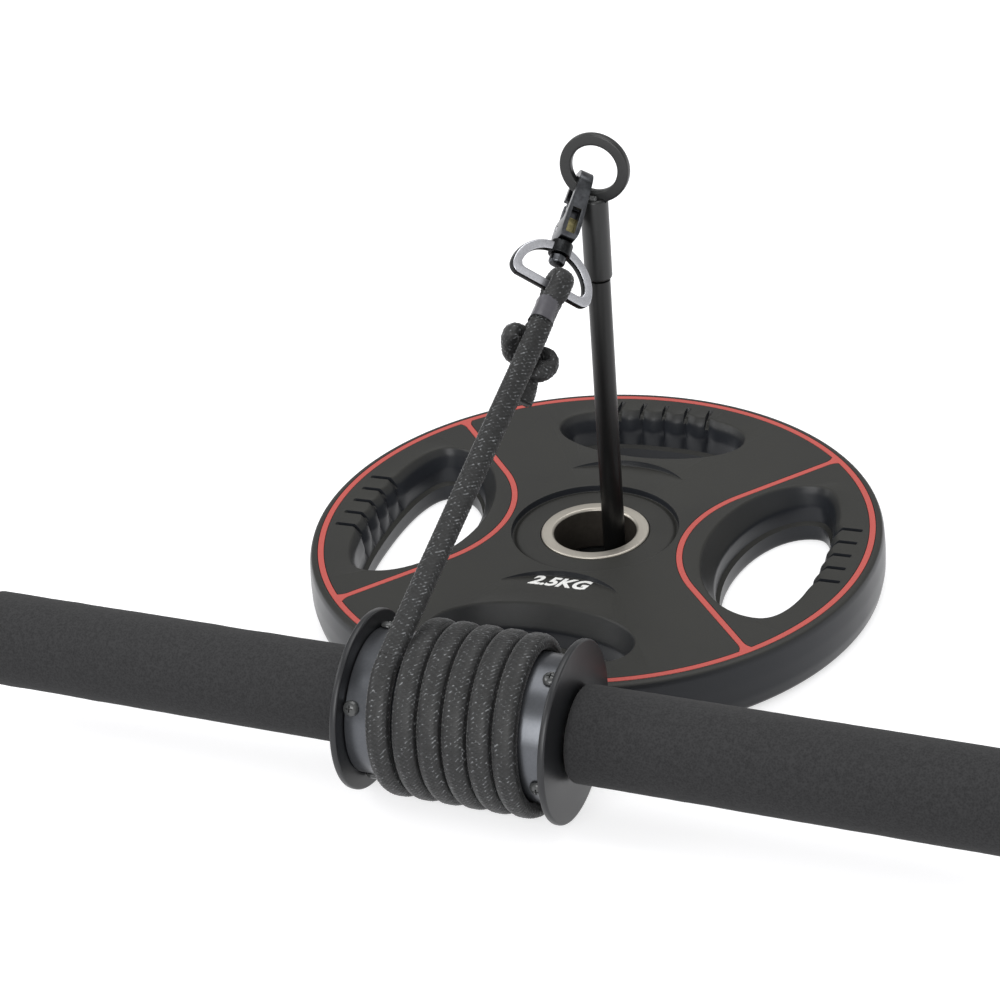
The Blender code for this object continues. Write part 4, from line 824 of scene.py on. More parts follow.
circle_line = [(u, v, WELD_RADIUS) for u, v in arc((0, 0), WELD_RADIUS, 0, 2 * math.pi, 48)]
foot = bead_along(circle_line, 30, (1.0 * MM, 1.0 * MM, 0.8 * MM))
finished("rod_weld", foot, "loading_pin", ["base_weld"])
for name, y in (("front", -BEAD_SIDE), ("rear", BEAD_SIDE)):
    short = []
    for i in range(11):
        short.append(((-1.5 + 0.3 * i) * MM, y, BEAD_HEIGHT + 0.1 * MM * math.sin(math.pi * i / 10)))
    made = bead_along(short, 6, (1.1 * MM, 1.15 * MM, 0.7 * MM))
    finished(f"ring_weld_{name}", made, "loading_pin", [f"eye_weld_{name}"])

# %% [markdown]
# ## The plate
#
# The plate is an iron casting with a thick rubber coat moulded over it. The coat is one turned body
# with four hand holes, two shallow pockets and a groove for the red line. Each hand hole is a loft
# through rounded outlines that open towards the top, and its last rings flare out, which rounds the
# lip. Its outer wall is grooved for the fingers, and five slots cross its lip in line with them.

# %% Sizes of the plate
PLATE_PLACE = Matrix.Translation((PLATE_X, PLATE_Y, 0)) @ Matrix.Rotation(math.radians(2.2), 4, "Z")
PLATE_TOP, PLATE_RIM, BUSH_OUTER, BUSH_BORE = 22.6 * MM, 108.4 * MM, 20.4 * MM, 15.6 * MM
RECESS_RADIUS, RECESS_FLOOR, RECESS_GROOVE = 31.5 * MM, 20.8 * MM, 0.9 * MM
POCKET_DEPTH, POCKET_SLOPE, FOOT_HEIGHT = 2.2 * MM, math.atan2(2.1, 10), 4.3 * MM
TRIM_RADIUS, TRIM_WIDTH, TRIM_DEPTH = 103.6 * MM, 2.15 * MM, 0.9 * MM
# Each row of a hole is a height, the inner and the outer wall's distance and the half length, in mm.
SIDE_GRIP = (
    (-1.0, 49.4, 87.4, 45.2),
    (14.5, 49.0, 86.8, 45.0),
    (19.8, 45.2, 88.0, 46.4),
    (22.6, 43.2, 90.2, 47.6),
)
END_GRIP = (
    (-1.0, 61.2, 90.2, 35.2),
    (14.5, 60.8, 89.6, 35.0),
    (19.8, 57.2, 90.8, 36.8),
    (22.6, 55.2, 93.0, 38.1),
)
GRIPS = [(i * math.pi / 2, (SIDE_GRIP, END_GRIP)[i % 2], (0.66, 0.52)[i % 2]) for i in range(4)]
print("hand holes:", len(GRIPS), "with lips in mm:", SIDE_GRIP[-1], END_GRIP[-1])

# %% A hand hole's outline
RIB_STEP, RIB_ANGLES, FINE, COARSE = 9.2 * MM, 42.0, 112, 56
ROUND_ANGLES = [math.radians(-RIB_ANGLES + RIB_ANGLES * i / COARSE) for i in range(FINE)]
ROUND_ANGLES += [math.radians(RIB_ANGLES + (360 - 2 * RIB_ANGLES) * i / COARSE) for i in range(COARSE)]
GRIP_TOP, RIB_FOOT, RIB_RISE, RIB_DEPTH = 22.6, 8.2, 4.0, 1.9 * MM


def grip_outline(inner, outer, half_length, share, groove):
    """A long rounded hole, as points round it. Grooves between five fingers go into its outer wall."""
    middle = inner + (outer - inner) * share
    points = []
    for angle in ROUND_ANGLES:
        c, s = math.cos(angle), math.sin(angle)
        power = 2 / (2.3 if c > 0 else 1.95)
        x, y = abs(c) ** power * math.copysign(1, c), abs(s) ** power * math.copysign(1, s)
        y *= half_length
        deeper = 0
        if abs(y) < 2.5 * RIB_STEP and c > 0:
            deeper = groove * (1 - abs(math.sin(math.pi * y / RIB_STEP)) ** 0.8)
        across = outer - middle if c > 0 else middle - inner
        points.append((middle + across * x + deeper, y))
    return points


# %% A hand hole as a cutter
def eased(sections, height):
    """The sections' three sizes at a height."""
    for (z0, *low_sizes), (z1, *high_sizes) in zip(sections, sections[1:]):
        if height <= z1 or z1 == sections[-1][0]:
            t = (height - z0) / (z1 - z0)
            return [a + (b - a) * t for a, b in zip(low_sizes, high_sizes)]


def grip_cutter(turn, sections, share):
    """The hole with its slopes blended, a rounded foot and a rounded lip. Heights are in mm."""
    heights = [-1.0, 0.0, 0.3, 0.8, 1.6, 3.0, 5.0, 7.0, 7.6, 8.2, 12.0, 13.5, 14.2, 14.8, 15.5, 17.0]
    heights += [18.6, 19.4, 20.0, 20.8, 21.6, 22.1, 22.4, 22.55, 22.6, 24.0]
    rings = []
    for z in heights:
        near = [eased(sections, min(max(z + d, -1.0), GRIP_TOP)) for d in (-0.6, 0.0, 0.6)]
        inner, outer, half = [sum(v) / 3 for v in zip(*near)]
        lip = 0.5 * max(0.0, 1 - max(0.0, GRIP_TOP - z) / 0.6) ** 2
        lip += 1.2 * max(0.0, 1 - max(0.0, z) / 1.6) ** 2
        lip -= 1.5 * min(1.0, max(0.0, (RIB_FOOT - z) / 1.2))
        groove = RIB_DEPTH * min(1.0, max(0.0, (z - RIB_FOOT) / RIB_RISE))
        outline = grip_outline((inner - lip) * MM, (outer + lip) * MM, (half + lip) * MM, share, groove)
        rings.append([(x, y, z * MM) for x, y in outline])
    return lofted(rings, Matrix.Rotation(turn, 4, "Z"))


holes = [grip_cutter(*grip) for grip in GRIPS]
print("hand holes:", len(holes), "cutters of", len(holes[0].polygons), "faces")

# %% The finger slots across a hole's lip
SLOT_DEPTH, SLOT_HALF, SLOT_SHIFT = 2.57 * MM, 0.98 * MM, 0.03 * MM


def finger_slots(sections, turn):
    """Five blades with round edges, a hair beside the wall's own points, so that the cut stays clean."""
    wall, floor, blades = sections[1][2] * MM, PLATE_TOP - SLOT_DEPTH, []
    line = [(wall - 2 * MM, floor - 2.4 * MM), (wall + 1.2 * MM, floor - 2.4 * MM), (wall + 3.4 * MM, floor)]
    line += [(95.6 * MM, floor), (97.2 * MM, floor + 0.8 * MM), (98.3 * MM, PLATE_TOP)]
    line += [(98.6 * MM, PLATE_TOP + 1 * MM), (wall - 2 * MM, PLATE_TOP + 1 * MM)]
    outline = rounded(line, 0.5 * MM, steps=2)
    for i in range(5):
        side = (i - 2) * RIB_STEP + SLOT_SHIFT
        blade = flat_piece([outline], SLOT_HALF, axis="Y", edge=0.45 * MM, edge_steps=2)
        blade.transform(Matrix.Rotation(turn, 4, "Z") @ Matrix.Translation((0, side, 0)))
        blades.append(blade)
    return blades


blades = [blade for turn, sections, _ in GRIPS for blade in finger_slots(sections, turn)]
print("finger slots:", len(blades))

# %% The outline of the red line
BOW_CENTRE, BOW_RADIUS, BOW_END = 87.0 * MM, 52.0 * MM, 50
FLARE, FLARE_LENGTH = 1.6 * MM, 4.4


def trim_outline(width, side):
    """The line round a side hole, from rim to rim. It widens in a small curve where it meets the rim."""
    edges = []
    for offset in (width / 2, -width / 2):
        start, end = math.radians(90 + BOW_END), math.radians(270 - BOW_END)
        bend = arc((BOW_CENTRE, 0.0), BOW_RADIUS + offset, start, end, 32)
        heading, ends = math.radians(BOW_END), []
        for (x, y), sign in ((bend[0], 1), (bend[-1], -1)):
            ux, uy = math.cos(heading), sign * math.sin(heading)
            along = x * ux + y * uy
            reach = -along + math.sqrt(along * along + TRIM_RADIUS**2 - x * x - y * y)
            away = math.copysign(1, offset) * sign
            end = []
            for back in (0.0, 1.3, 1.8, 2.4, 3.2, 4.2, 5.4):
                flare = FLARE * (1 - max(back - 1.0, 0) / FLARE_LENGTH) ** 2.4
                here = reach - back * MM
                end.append((x + ux * here - uy * away * flare, y + uy * here + ux * away * flare))
            ends.append(end)
        edges.append(ends[0] + bend + ends[1][::-1])
    return [(side * x, side * y) for x, y in edges[0] + edges[1][::-1]]


# %% The red line as a solid, and its groove
def trim_shape(width, low, high):
    """The ring and its two bows, joined."""
    inner, outer = TRIM_RADIUS - width / 2, TRIM_RADIUS + width / 2
    bows = []
    for side in (1, -1):
        bow = flat_piece([trim_outline(width, side)], (high - low) / 2)
        bow.transform(Matrix.Translation((0, 0, (high + low) / 2)))
        bows.append(bow)
    ring = turned([(inner, high), (outer, high), (outer, low), (inner, low)], 200)
    return carved(ring, *bows, operation="UNION")


groove = trim_shape(TRIM_WIDTH + 0.5 * MM, PLATE_TOP - TRIM_DEPTH - FIT, PLATE_TOP + 1 * MM)
print("groove for the red line:", len(groove.polygons), "faces")

# %% [markdown]
# ### Moulded rubber
#
# Black rubber from a steel mould that was spark-eroded: the flat face has a very fine even grain,
# and the steep walls, where hands rub, are smoother. The walls also get a darker, cooler colour,
# which is painted shade in the hand holes. Carbon black leaves the face a warm dark grey. Two noises
# do it: one of 0.45 mm for the grain, and one of 40 mm that lets the gloss wander as on handled
# rubber. How far a face points up blends between face and wall.

# %% The plate's rubber
moulded_rubber, tree, shader = surface("moulded_rubber", 0.5, Specular_IOR_Level=0.3)
place = on_object(tree)
grain = waves(tree, place, 1 / (0.45 * MM))
wide_waves = waves(tree, place, 1 / (40 * MM), 4.0)
tone = ramp(tree, wide_waves, (0.35, "222220"), (0.7, "282825"))
speck = {0: tone, "Scale": calc(tree, "MULTIPLY_ADD", grain, 0.3, 0.85)}
mixed = add(tree, "ShaderNodeVectorMath", speck, operation="SCALE").outputs[0]
normal = add(tree, "ShaderNodeNewGeometry").outputs["Normal"]
upward = add(tree, "ShaderNodeSeparateXYZ", {"Vector": normal}).outputs["Z"]


def ranged(value, low, high, first, last):
    """A value from low to high, as one from first to last."""
    inputs = {"Value": value, "From Min": low, "From Max": high, "To Min": first, "To Max": last}
    return add(tree, "ShaderNodeMapRange", inputs).outputs[0]


steep = ranged(upward, 0.2, 0.75, 1.0, 0.0)
# The steep walls' darker, cooler colour is painted shade; their lower roughness is real.
wall_shade_tone = {"Factor": steep, "A": mixed, "B": linear("212327")[:3]}
colour = add(tree, "ShaderNodeMix", wall_shade_tone, data_type="VECTOR").outputs["Result"]
gloss = calc(tree, "MULTIPLY_ADD", steep, -0.17, ranged(wide_waves, 0.3, 0.7, 0.44, 0.54))
tree.links.new(gloss, shader.inputs["Roughness"])
grain_height = calc(tree, "MULTIPLY", grain, calc(tree, "MULTIPLY_ADD", steep, -0.75, 1.0))
colour_and_bump(tree, shader, colour, grain_height, 0.35, 0.12 * MM)

# %% The coat: turned, then cut
bush_seat = BUSH_OUTER + FIT
coat_profile = [
    (bush_seat, RECESS_FLOOR - FIT),
    (bush_seat, RECESS_FLOOR),
    (bush_seat + 0.3 * MM, RECESS_FLOOR),
    (RECESS_RADIUS - 2.2 * MM, RECESS_FLOOR),
    (RECESS_RADIUS - RECESS_GROOVE, RECESS_FLOOR - RECESS_GROOVE),
    (RECESS_RADIUS, RECESS_FLOOR - RECESS_GROOVE),
    (RECESS_RADIUS + 0.1 * MM, PLATE_TOP),
    (RECESS_RADIUS + 0.7 * MM, PLATE_TOP),
    (106.0 * MM, PLATE_TOP),
    (107.2 * MM, PLATE_TOP - 0.5 * MM),
    (107.9 * MM, PLATE_TOP - 2.4 * MM),
    (PLATE_RIM, PLATE_TOP * 0.6),
    (PLATE_RIM, PLATE_TOP * 0.3),
    (107.4 * MM, 2.0 * MM),
    (105.0 * MM, 0.0),
    (32.8 * MM, 0.0),
    (32.2 * MM, FOOT_HEIGHT),
    (bush_seat, FOOT_HEIGHT),
]
coat = turned(rounded(coat_profile, 1.2 * MM, steps=5), 200)
coat.transform(Matrix.Rotation(math.radians(0.7), 4, "Z"))
pockets = []
for far_edge in (-33.4 * MM, 51.0 * MM):
    pocket = turned(rounded(mm((0, 10), (30.6, 10), (30, 0), (0, 0)), 0.3 * MM, closed=False), 128)
    pocket.transform(Matrix.Translation((0, -30 * MM, 0)))
    pocket.transform(Matrix.Rotation(-POCKET_SLOPE, 4, "X"))
    pocket.transform(Matrix.Translation((0, far_edge, PLATE_TOP - POCKET_DEPTH)))
    pockets.append(pocket)
coat = carved(coat, *pockets, groove, joined(holes), joined(blades))
coat.transform(PLATE_PLACE)
finished("plate_coat", painted(coat, moulded_rubber), "weight_plate", ["rubber_coat"], 28.0)

# %% [markdown]
# ### The red line, the bush and the core
#
# The line is a red rubber inlay that fills its groove to the face. The bush is a steel ring pressed
# in the middle: its face is turned bright, and its bore is painted dark, as painted shade in the hole.
# The iron core can't be seen, but it is in the model, so it gets the rough look of a sand casting.

# %% Red rubber inlay
red_inlay = finish(
    "red_rubber_inlay", "a4433d", "b5524b", 0.42, 0.0, 0.6, 0.06, Specular_IOR_Level=0.35
)
trim = trim_shape(TRIM_WIDTH, PLATE_TOP - TRIM_DEPTH, PLATE_TOP)
trim.transform(PLATE_PLACE)
finished("plate_red_line", painted(trim, red_inlay), "weight_plate", ["red_trim"], 28.0)

# %% The bush and the core
bush_high = RECESS_FLOOR + 0.6 * MM
bush_profile = [
    (BUSH_BORE, bush_high - 2.4 * MM),
    (BUSH_BORE, bush_high - 0.7 * MM),
    (BUSH_BORE + 0.7 * MM, bush_high),
    (BUSH_OUTER - 0.4 * MM, bush_high),
    (BUSH_OUTER, bush_high - 0.4 * MM),
    (BUSH_OUTER, FOOT_HEIGHT),
    (BUSH_BORE + 0.6 * MM, FOOT_HEIGHT),
    (BUSH_BORE, FOOT_HEIGHT + 0.6 * MM),
]
# The bore's dark colour is painted shade inside the hole.
bore_painted_shade = finish("oxidised_steel_bore", "2e2a25", "45403a", 0.6, 0.5, 2.5, 0.05)


def in_bore(polygon):
    """Whether a face of the bush lies in its bore, below the bright edge."""
    near = math.hypot(polygon.center.x, polygon.center.y) < BUSH_BORE + 0.1 * MM
    return near and polygon.center.z < bush_high - 1.2 * MM


bush = painted(turned(rounded(bush_profile, 0.3 * MM), 144), turned_steel, bore_painted_shade, in_bore)
bush.transform(PLATE_PLACE)
finished("plate_bush", bush, "weight_plate", ["hub_bush"])


def dress(node, material):
    """Gives a CAD node that stays a new material in its own slots."""
    for one in frame["nodes"][node].material_slots:
        one.material = material
    print(node, "keeps its CAD shape, in", material.name)


dress("iron_core", finish("sand_cast_iron", "4a4846", "63605c", 0.75, 0.6, 0.9, 0.3, 0.8))

# %% [markdown]
# ## The roller
#
# A steel tube goes through the drum and both grips. The drum is a thin aluminium shell between two
# flanges, in satin black, with four pan-head screws round each end that go into the flange's hub.
# The rope's hole in the shell is a loft that follows the rope's way down. The screws repeat, so one
# screw is modelled with its cross recess, and Geometry Nodes put it on eight points that each know
# which way is outwards.

# %% Finishes and sizes of the drum
SATIN = {"wave": 0.8, "depth": 0.02, "strength": 0.3}
anodised_tube = finish("black_anodised_tube", "54565a", "606266", 0.3, 0.8, **SATIN)
anodised_flange = finish("black_anodised_flange", "16171a", "1d1e20", 0.38, 0.15, **SATIN)
FLANGE_RADIUS, INNER_FACE, OUTER_FACE, BAR_RADIUS = 31.0 * MM, 35.3 * MM, 37.7 * MM, 11.0 * MM
HUB_DEPTH, HUB_WALL, SHELL_WALL = 4.3 * MM, 3.0 * MM, 2.0 * MM
HANDS = {"left": Matrix.Rotation(math.pi, 4, "X"), "right": Matrix.Identity(4)}
drum_half, hub_outer, bore = INNER_FACE - FIT, DRUM_RADIUS - 2.3 * MM, BAR_RADIUS + FIT
hub_end, hub_inner, shell_inner = INNER_FACE - HUB_DEPTH, hub_outer - HUB_WALL, DRUM_RADIUS - SHELL_WALL
print("drum between its flanges in mm:", round(2 * drum_half / MM, 1))

# %% The shell, with the hole that the rope dives through
shell_profile = [
    (shell_inner, -drum_half), (DRUM_RADIUS, -drum_half), (DRUM_RADIUS, drum_half), (shell_inner, drum_half)
]
entry = [diving(s / 8) for s in range(4, 13)]
rope_hole = []
for i, spot in enumerate(entry):
    ahead = (entry[min(i + 1, 8)] - entry[max(i - 1, 0)]).normalized()
    broad_way, thin_way = Vector((1, 0, 0)), ahead.cross(Vector((1, 0, 0))).normalized()
    rope_hole.append([])
    for k in range(32):
        angle = 2 * math.pi * k / 32
        u, v = 4.3 * MM * math.cos(angle), 3.0 * MM * math.sin(angle)
        rope_hole[-1].append(spot + broad_way * u + thin_way * v)
shell = carved(turned(rounded(shell_profile, 0.3 * MM), 144, roller_place), lofted(rope_hole))
finished("drum_tube", painted(shell, anodised_tube), "roller", ["drum_shell"])

# %% The two flanges
flange_profile = [
    (bore, OUTER_FACE), (FLANGE_RADIUS, OUTER_FACE), (FLANGE_RADIUS, INNER_FACE), (hub_outer, INNER_FACE),
    (hub_outer, hub_end), (hub_inner, hub_end), (hub_inner, INNER_FACE), (bore, INNER_FACE),
]
for hand, flip in HANDS.items():
    disc = painted(turned(rounded(flange_profile, 0.9 * MM), 160, roller_place @ flip), anodised_flange)
    finished(f"drum_flange_{hand}", disc, "roller", [f"flange_{hand}"])

# %% One screw, and the tree that puts it in eight places
seat = DRUM_RADIUS + FIT
head = [(0, 1.9), (1.2, 1.75), (2.1, 1.3), (2.65, 0.7), (2.75, 0.1), (2.7, 0)]
head += [(1.2, 0), (1.2, -4.6), (0, -4.6)]
screw_profile = [(u * MM, seat + v * MM) for u, v in head]
screw = turned(rounded(screw_profile, 0.3 * MM, closed=False, steps=2), 28)
recess = []
for quarter in (0, math.pi / 2):
    arm = box_between((-1.2 * MM, -0.275 * MM, seat + 0.8 * MM), (1.2 * MM, 0.275 * MM, seat + 2.4 * MM))
    arm.transform(Matrix.Rotation(quarter, 4, "Z"))
    recess.append(arm)
model_screw = placed("model_screw", painted(carved(screw, *recess), coat_with_painted_highlight))
fasten, given = new_tree("screws_on_points", "Screws", Places="Geometry", Screw="Object", Finish="Material")
model = add(fasten, "GeometryNodeObjectInfo", {"Object": given["Screw"]})
outward = add(fasten, "GeometryNodeInputNamedAttribute", {"Name": "outward"}, data_type="FLOAT_VECTOR")
aimed = add(fasten, "FunctionNodeAlignRotationToVector", {"Vector": outward.outputs["Attribute"]}, axis="Z")
copy = {"Points": given["Places"], "Instance": model.outputs["Geometry"], "Rotation": aimed.outputs[0]}
copies = add(fasten, "GeometryNodeInstanceOnPoints", copy)
end_tree(fasten, copies.outputs[0], given["Finish"])

# %% The eight points and the screws on them
SCREW_X, LEFT_ANGLE, RIGHT_ANGLE = 32.6 * MM, 153, 105
places, aims = [], []
for x, first_angle in ((-SCREW_X, LEFT_ANGLE), (SCREW_X, RIGHT_ANGLE)):
    for number in range(4):
        angle = math.radians(first_angle + number * 90)
        places.append(roller_place @ Vector((0, 0, x)))
        aims.append(roller_place.to_3x3() @ Vector((math.cos(angle), math.sin(angle), 0)))
points = bpy.data.meshes.new("screw_places")
points.from_pydata(places, [], [])
headings = points.attributes.new("outward", "FLOAT_VECTOR", "POINT")
headings.data.foreach_set("vector", [v for aim in aims for v in aim])
screws_mesh = grown(fasten, points, {"Screw": model_screw, "Finish": coat_with_painted_highlight})
bpy.data.objects.remove(model_screw, do_unlink=True)
screw_nodes = [f"drum_screw_{hand}_{i}" for hand in HANDS for i in (1, 2, 3, 4)]
finished("drum_screws", screws_mesh, "roller", screw_nodes)

# %% [markdown]
# ### Foam grips
#
# The grips are tubes of nitrile foam with rounded ends, pulled over the bar. Foam is full of cells
# well under a millimetre across, so its skin is matt, slightly lumpy and flecked where cells are
# open. The tube is turned in many rings, and each point moves in by up to a quarter of a millimetre
# in broad soft waves, as hand-fitted foam does. The cells themselves are a bump.

# %% Nitrile foam
nitrile_foam, tree, shader = surface(
    "nitrile_foam", 0.92, Specular_IOR_Level=0.15, Sheen_Weight=0.05, Sheen_Roughness=0.6
)
place = on_object(tree)
cells = add(tree, "ShaderNodeTexVoronoi", {"Vector": place, "Scale": 1 / (0.7 * MM)}, feature="F1")
cloud_inputs = {"Vector": place, "Scale": 1 / (1.6 * MM), "Detail": 5.0, "Roughness": 0.7}
cloud = add(tree, "ShaderNodeTexNoise", cloud_inputs).outputs["Fac"]
fleck = calc(tree, "ADD", cloud, calc(tree, "MULTIPLY", cells.outputs["Distance"], 0.6))
colour_and_bump(tree, shader, ramp(tree, fleck, (0.5, "232324"), (1.0, "303031")), fleck, 0.4, 0.15 * MM)

# %% The two grips
FOAM_RADIUS, FOAM_START, FOAM_END, FOAM_ROUND, FOAM_RINGS = 16.6 * MM, 38.5 * MM, 184.5 * MM, 2.2 * MM, 100
foam_side, straight = FOAM_RADIUS - FOAM_ROUND, FOAM_END - FOAM_START - 2 * FOAM_ROUND
near, far = (FOAM_START + FOAM_ROUND, foam_side), (FOAM_END - FOAM_ROUND, foam_side)
rows = [(bore, FOAM_START + 0.2 * MM)]
rows += [(u, v) for v, u in arc(near, FOAM_ROUND, math.pi, math.pi / 2, 6)]
rows += [(FOAM_RADIUS, near[0] + straight * i / FOAM_RINGS) for i in range(1, FOAM_RINGS)]
rows += [(u, v) for v, u in arc(far, FOAM_ROUND, math.pi / 2, 0, 6)]
rows += [(bore, FOAM_END - 0.2 * MM)]
for (hand, flip), seed in zip(HANDS.items(), (-7, 7)):
    pad = turned(rows, 96)
    for vertex in pad.vertices:
        radial = Vector((vertex.co.x, vertex.co.y, 0))
        if radial.length > BAR_RADIUS + 1 * MM:
            lump = noise.noise(vertex.co * 55 + Vector((seed, 0, 0))) * 0.22
            lump += noise.noise(vertex.co * 400) * 0.05
            vertex.co -= radial.normalized() * abs(lump) * MM
    pad.transform(roller_place @ flip)
    pad = painted(pad, nitrile_foam)
    grip = finished(f"grip_foam_{hand}", pad, "roller", [f"foam_grip_{hand}"], 60.0)

# %% [markdown]
# ### The bar's ends
#
# Each end of the tube is closed with a pushed-in cap of moulded ABS, with a rim that covers the
# tube's edge and a dished face. It is one turned profile for both ends. The tube itself only shows
# as a line between foam and drum, so it keeps its CAD shape and gets the powder coat.

# %% End plugs and the tube
moulded_abs = finish("moulded_abs", "1b1b1b", "252525", 0.5, 0.0, 0.35, 0.05, 0.5)
plug_profile = mm(
    (0, 183.9), (6.8, 183.9), (7.6, 184.5), (10.7, 184.5), (10.7, 183.3), (9.2, 183.3), (9.2, 171), (0, 171)
)
for hand, flip in HANDS.items():
    plug = turned(rounded(plug_profile, 0.4 * MM, closed=False), 72, roller_place @ flip)
    finished(f"bar_plug_{hand}", painted(plug, moulded_abs), "roller", [f"end_plug_{hand}"])
dress("bar_tube", powder_coat)

# %% [markdown]
# ## The D ring
#
# The D ring is stamped from 3 mm steel, tumbled until its edges are round, and plated in satin
# nickel. A boss in the middle of its bow takes the hook's rivet, so that hook and ring can turn.
# An outer and an inner outline make the ring as one flat piece with soft edges. Its boss carries a
# dark gunmetal plate, and the same dark colour on its edges is painted shade.

# %% The D ring with its boss
low_side, sill = -D_BAR - D_BAND / 2, -D_BAR + D_BAND / 2
D_HALF, D_HEIGHT, D_CORNER, BOSS_RADIUS, SHANK_ROOM = 16.5 * MM, 18.2 * MM, 3.6 * MM, 4.0 * MM, 2.1 * MM
BOSS_TOP, BOSS_BOTTOM = 22.7 * MM, D_BAR + D_BAND / 2 - D_HEIGHT + D_BAND + 0.8 * MM
spring, rise = low_side + D_CORNER, D_HEIGHT - D_CORNER
outer = [(D_HALF * x, spring + rise * z) for x, z in arc((0, 0), 1.0, 0.0, math.pi, 56)]
outer += arc((D_CORNER - D_HALF, spring), D_CORNER, math.pi, 1.5 * math.pi, 12)
outer += arc((D_HALF - D_CORNER, spring), D_CORNER, 1.5 * math.pi, 2 * math.pi, 12)[:-1]
wide, tall, start = D_HALF - D_BAND, rise - D_BAND, math.radians(8)
inner = [(wide * x, spring + tall * z) for x, z in arc((0, 0), 1.0, start, math.pi - start, 44)]
left_foot = [(0.7 * MM - wide, sill + 0.5 * MM), (1.8 * MM - wide, sill)]
inner += rounded(left_foot + [(-x, z) for x, z in reversed(left_foot)], 0.5 * MM, closed=False)
ring = flat_piece([outer, inner], D_THICKNESS / 2, axis="Y", edge=0.55 * MM)


def post(radius, top, bottom):
    """The profile of a round post."""
    return [(0, top), (radius, top), (radius, bottom), (0, bottom)]


def boss_and_edge_shade(polygon):
    """Whether a face belongs to the boss, which is plated dark, or to the ring's edges, which are painted
    dark as shade.
    """
    near_boss = math.hypot(polygon.center.x, polygon.center.y) < BOSS_RADIUS + 0.1 * MM
    return (near_boss and polygon.center.z > -BOSS_BOTTOM - 1 * MM) or abs(polygon.normal.y) < 0.75


boss = turned(rounded(post(BOSS_RADIUS, -BOSS_TOP, -BOSS_BOTTOM), 0.5 * MM, closed=False), 64)
hole = turned(post(SHANK_ROOM, -BOSS_TOP + 1 * MM, -BOSS_BOTTOM - 1 * MM), 48)
ring = carved(carved(ring, boss, operation="UNION"), hole)
# The boss's gunmetal plate is real; on the edges the same dark colour is painted shade.
ring = painted(ring, satin_nickel, gunmetal_and_edge_shade, boss_and_edge_shade)
ring.transform(swivel_place)
finished("d_ring_plated", ring, "swivel_eye", ["d_ring"])

# %% [markdown]
# ## The snap hook
#
# A swivel snap hook is a die casting: a bow that hangs on the ring, a forked body with a window in
# its spine, and a sprung gate that the thumb pushes in. Its side view is one outline and its front
# view another, so the body is the first plate cut to the second, and then the edges are rounded.
# The fork and the window are cut after the big rounding, because real castings keep those crisper.

# %% The hook's two outlines
BOW_INNER, BOW_OUTER, BOW_HALF, HOOK_HALF = 4.0 * MM, 6.4 * MM, 2.3 * MM, 3.3 * MM
HOOK_BOTTOM, SLOT_TOP, SLOT_BOTTOM = 22.4 * MM, 14.2 * MM, 19.8 * MM
HOOK_FRONT, BOW_TIP, GATE_HALF, GATE_PAD = 4.8 * MM, 4.0 * MM, 1.6 * MM, 7.4 * MM
PIVOT_Y, PIVOT_Z = 1.7 * MM, -17.4 * MM
side_view = [(-BOW_OUTER, -HOOK_BOTTOM + 1.6 * MM), (-BOW_OUTER + 1.2 * MM, -HOOK_BOTTOM)]
side_view += [(HOOK_FRONT - 1.2 * MM, -HOOK_BOTTOM), (HOOK_FRONT, -HOOK_BOTTOM + 1.2 * MM)]
side_view += [(HOOK_FRONT, -SLOT_TOP - 0.6 * MM), (HOOK_FRONT - 1.4 * MM, -SLOT_TOP)]
side_view += [(-BOW_INNER + 1.6 * MM, -SLOT_TOP), (-BOW_INNER, -SLOT_TOP + 1.8 * MM)]
side_view = rounded(side_view, 0.6 * MM, closed=False, steps=3) + arc((0, 0), BOW_INNER, math.pi, 0.0, 36)
side_view += [(BOW_INNER, -BOW_TIP), (BOW_OUTER, -BOW_TIP)] + arc((0, 0), BOW_OUTER, 0.0, math.pi, 48)
right_side = [
    (BOW_HALF * 0.9, BOW_OUTER + 1 * MM),
    (BOW_HALF, BOW_OUTER - 1.2 * MM),
    (BOW_HALF * 1.15, -BOW_TIP + 1 * MM),
    (HOOK_HALF - 0.2 * MM, -SLOT_TOP + 2 * MM),
    (HOOK_HALF, -HOOK_BOTTOM + 2.4 * MM),
    (HOOK_HALF - 0.8 * MM, -HOOK_BOTTOM - 1 * MM),
]
front_view = rounded(right_side + [(-x, z) for x, z in reversed(right_side)], 1.6 * MM, steps=5)
side_plate = flat_piece([side_view], HOOK_HALF, axis="X")
body = carved(side_plate, flat_piece([front_view], 2 * BOW_OUTER, axis="Y"), operation="INTERSECT")
print("the hook before it is cut:", len(body.polygons), "faces")

# %% Fork, window and holes
fork_half = GATE_HALF + FIT
fork_corners = (fork_half, GATE_PAD + 1 * MM, -SLOT_TOP + 2 * MM)
fork = box_between((-fork_half, -BOW_INNER + 1 * MM, -SLOT_BOTTOM), fork_corners)
window_low = (-1.7 * MM, -BOW_OUTER - 1 * MM, -SLOT_BOTTOM - 1.0 * MM)
window = box_between(window_low, (1.6 * MM, -BOW_INNER + 1.4 * MM, -10.8 * MM))
shank_hole = turned(post(SHANK_ROOM, -HOOK_BOTTOM - 1 * MM, -SLOT_BOTTOM + 1 * MM), 40)
pin_line = Matrix.Translation((0, PIVOT_Y, PIVOT_Z)) @ Matrix.Rotation(math.pi / 2, 4, "Y")
pin_hole = turned(post(1.1 * MM, -6 * MM, 6 * MM), 32, pin_line)
body = softened(body, 0.8 * MM, 4)
body = softened(carved(body, fork, window), 0.2 * MM, 2, 50.0)
body = carved(body, shank_hole, pin_hole)
body.transform(hook_place)
finished("snap_hook_body", painted(body, black_nickel), "snap_hook", ["hook_body"])

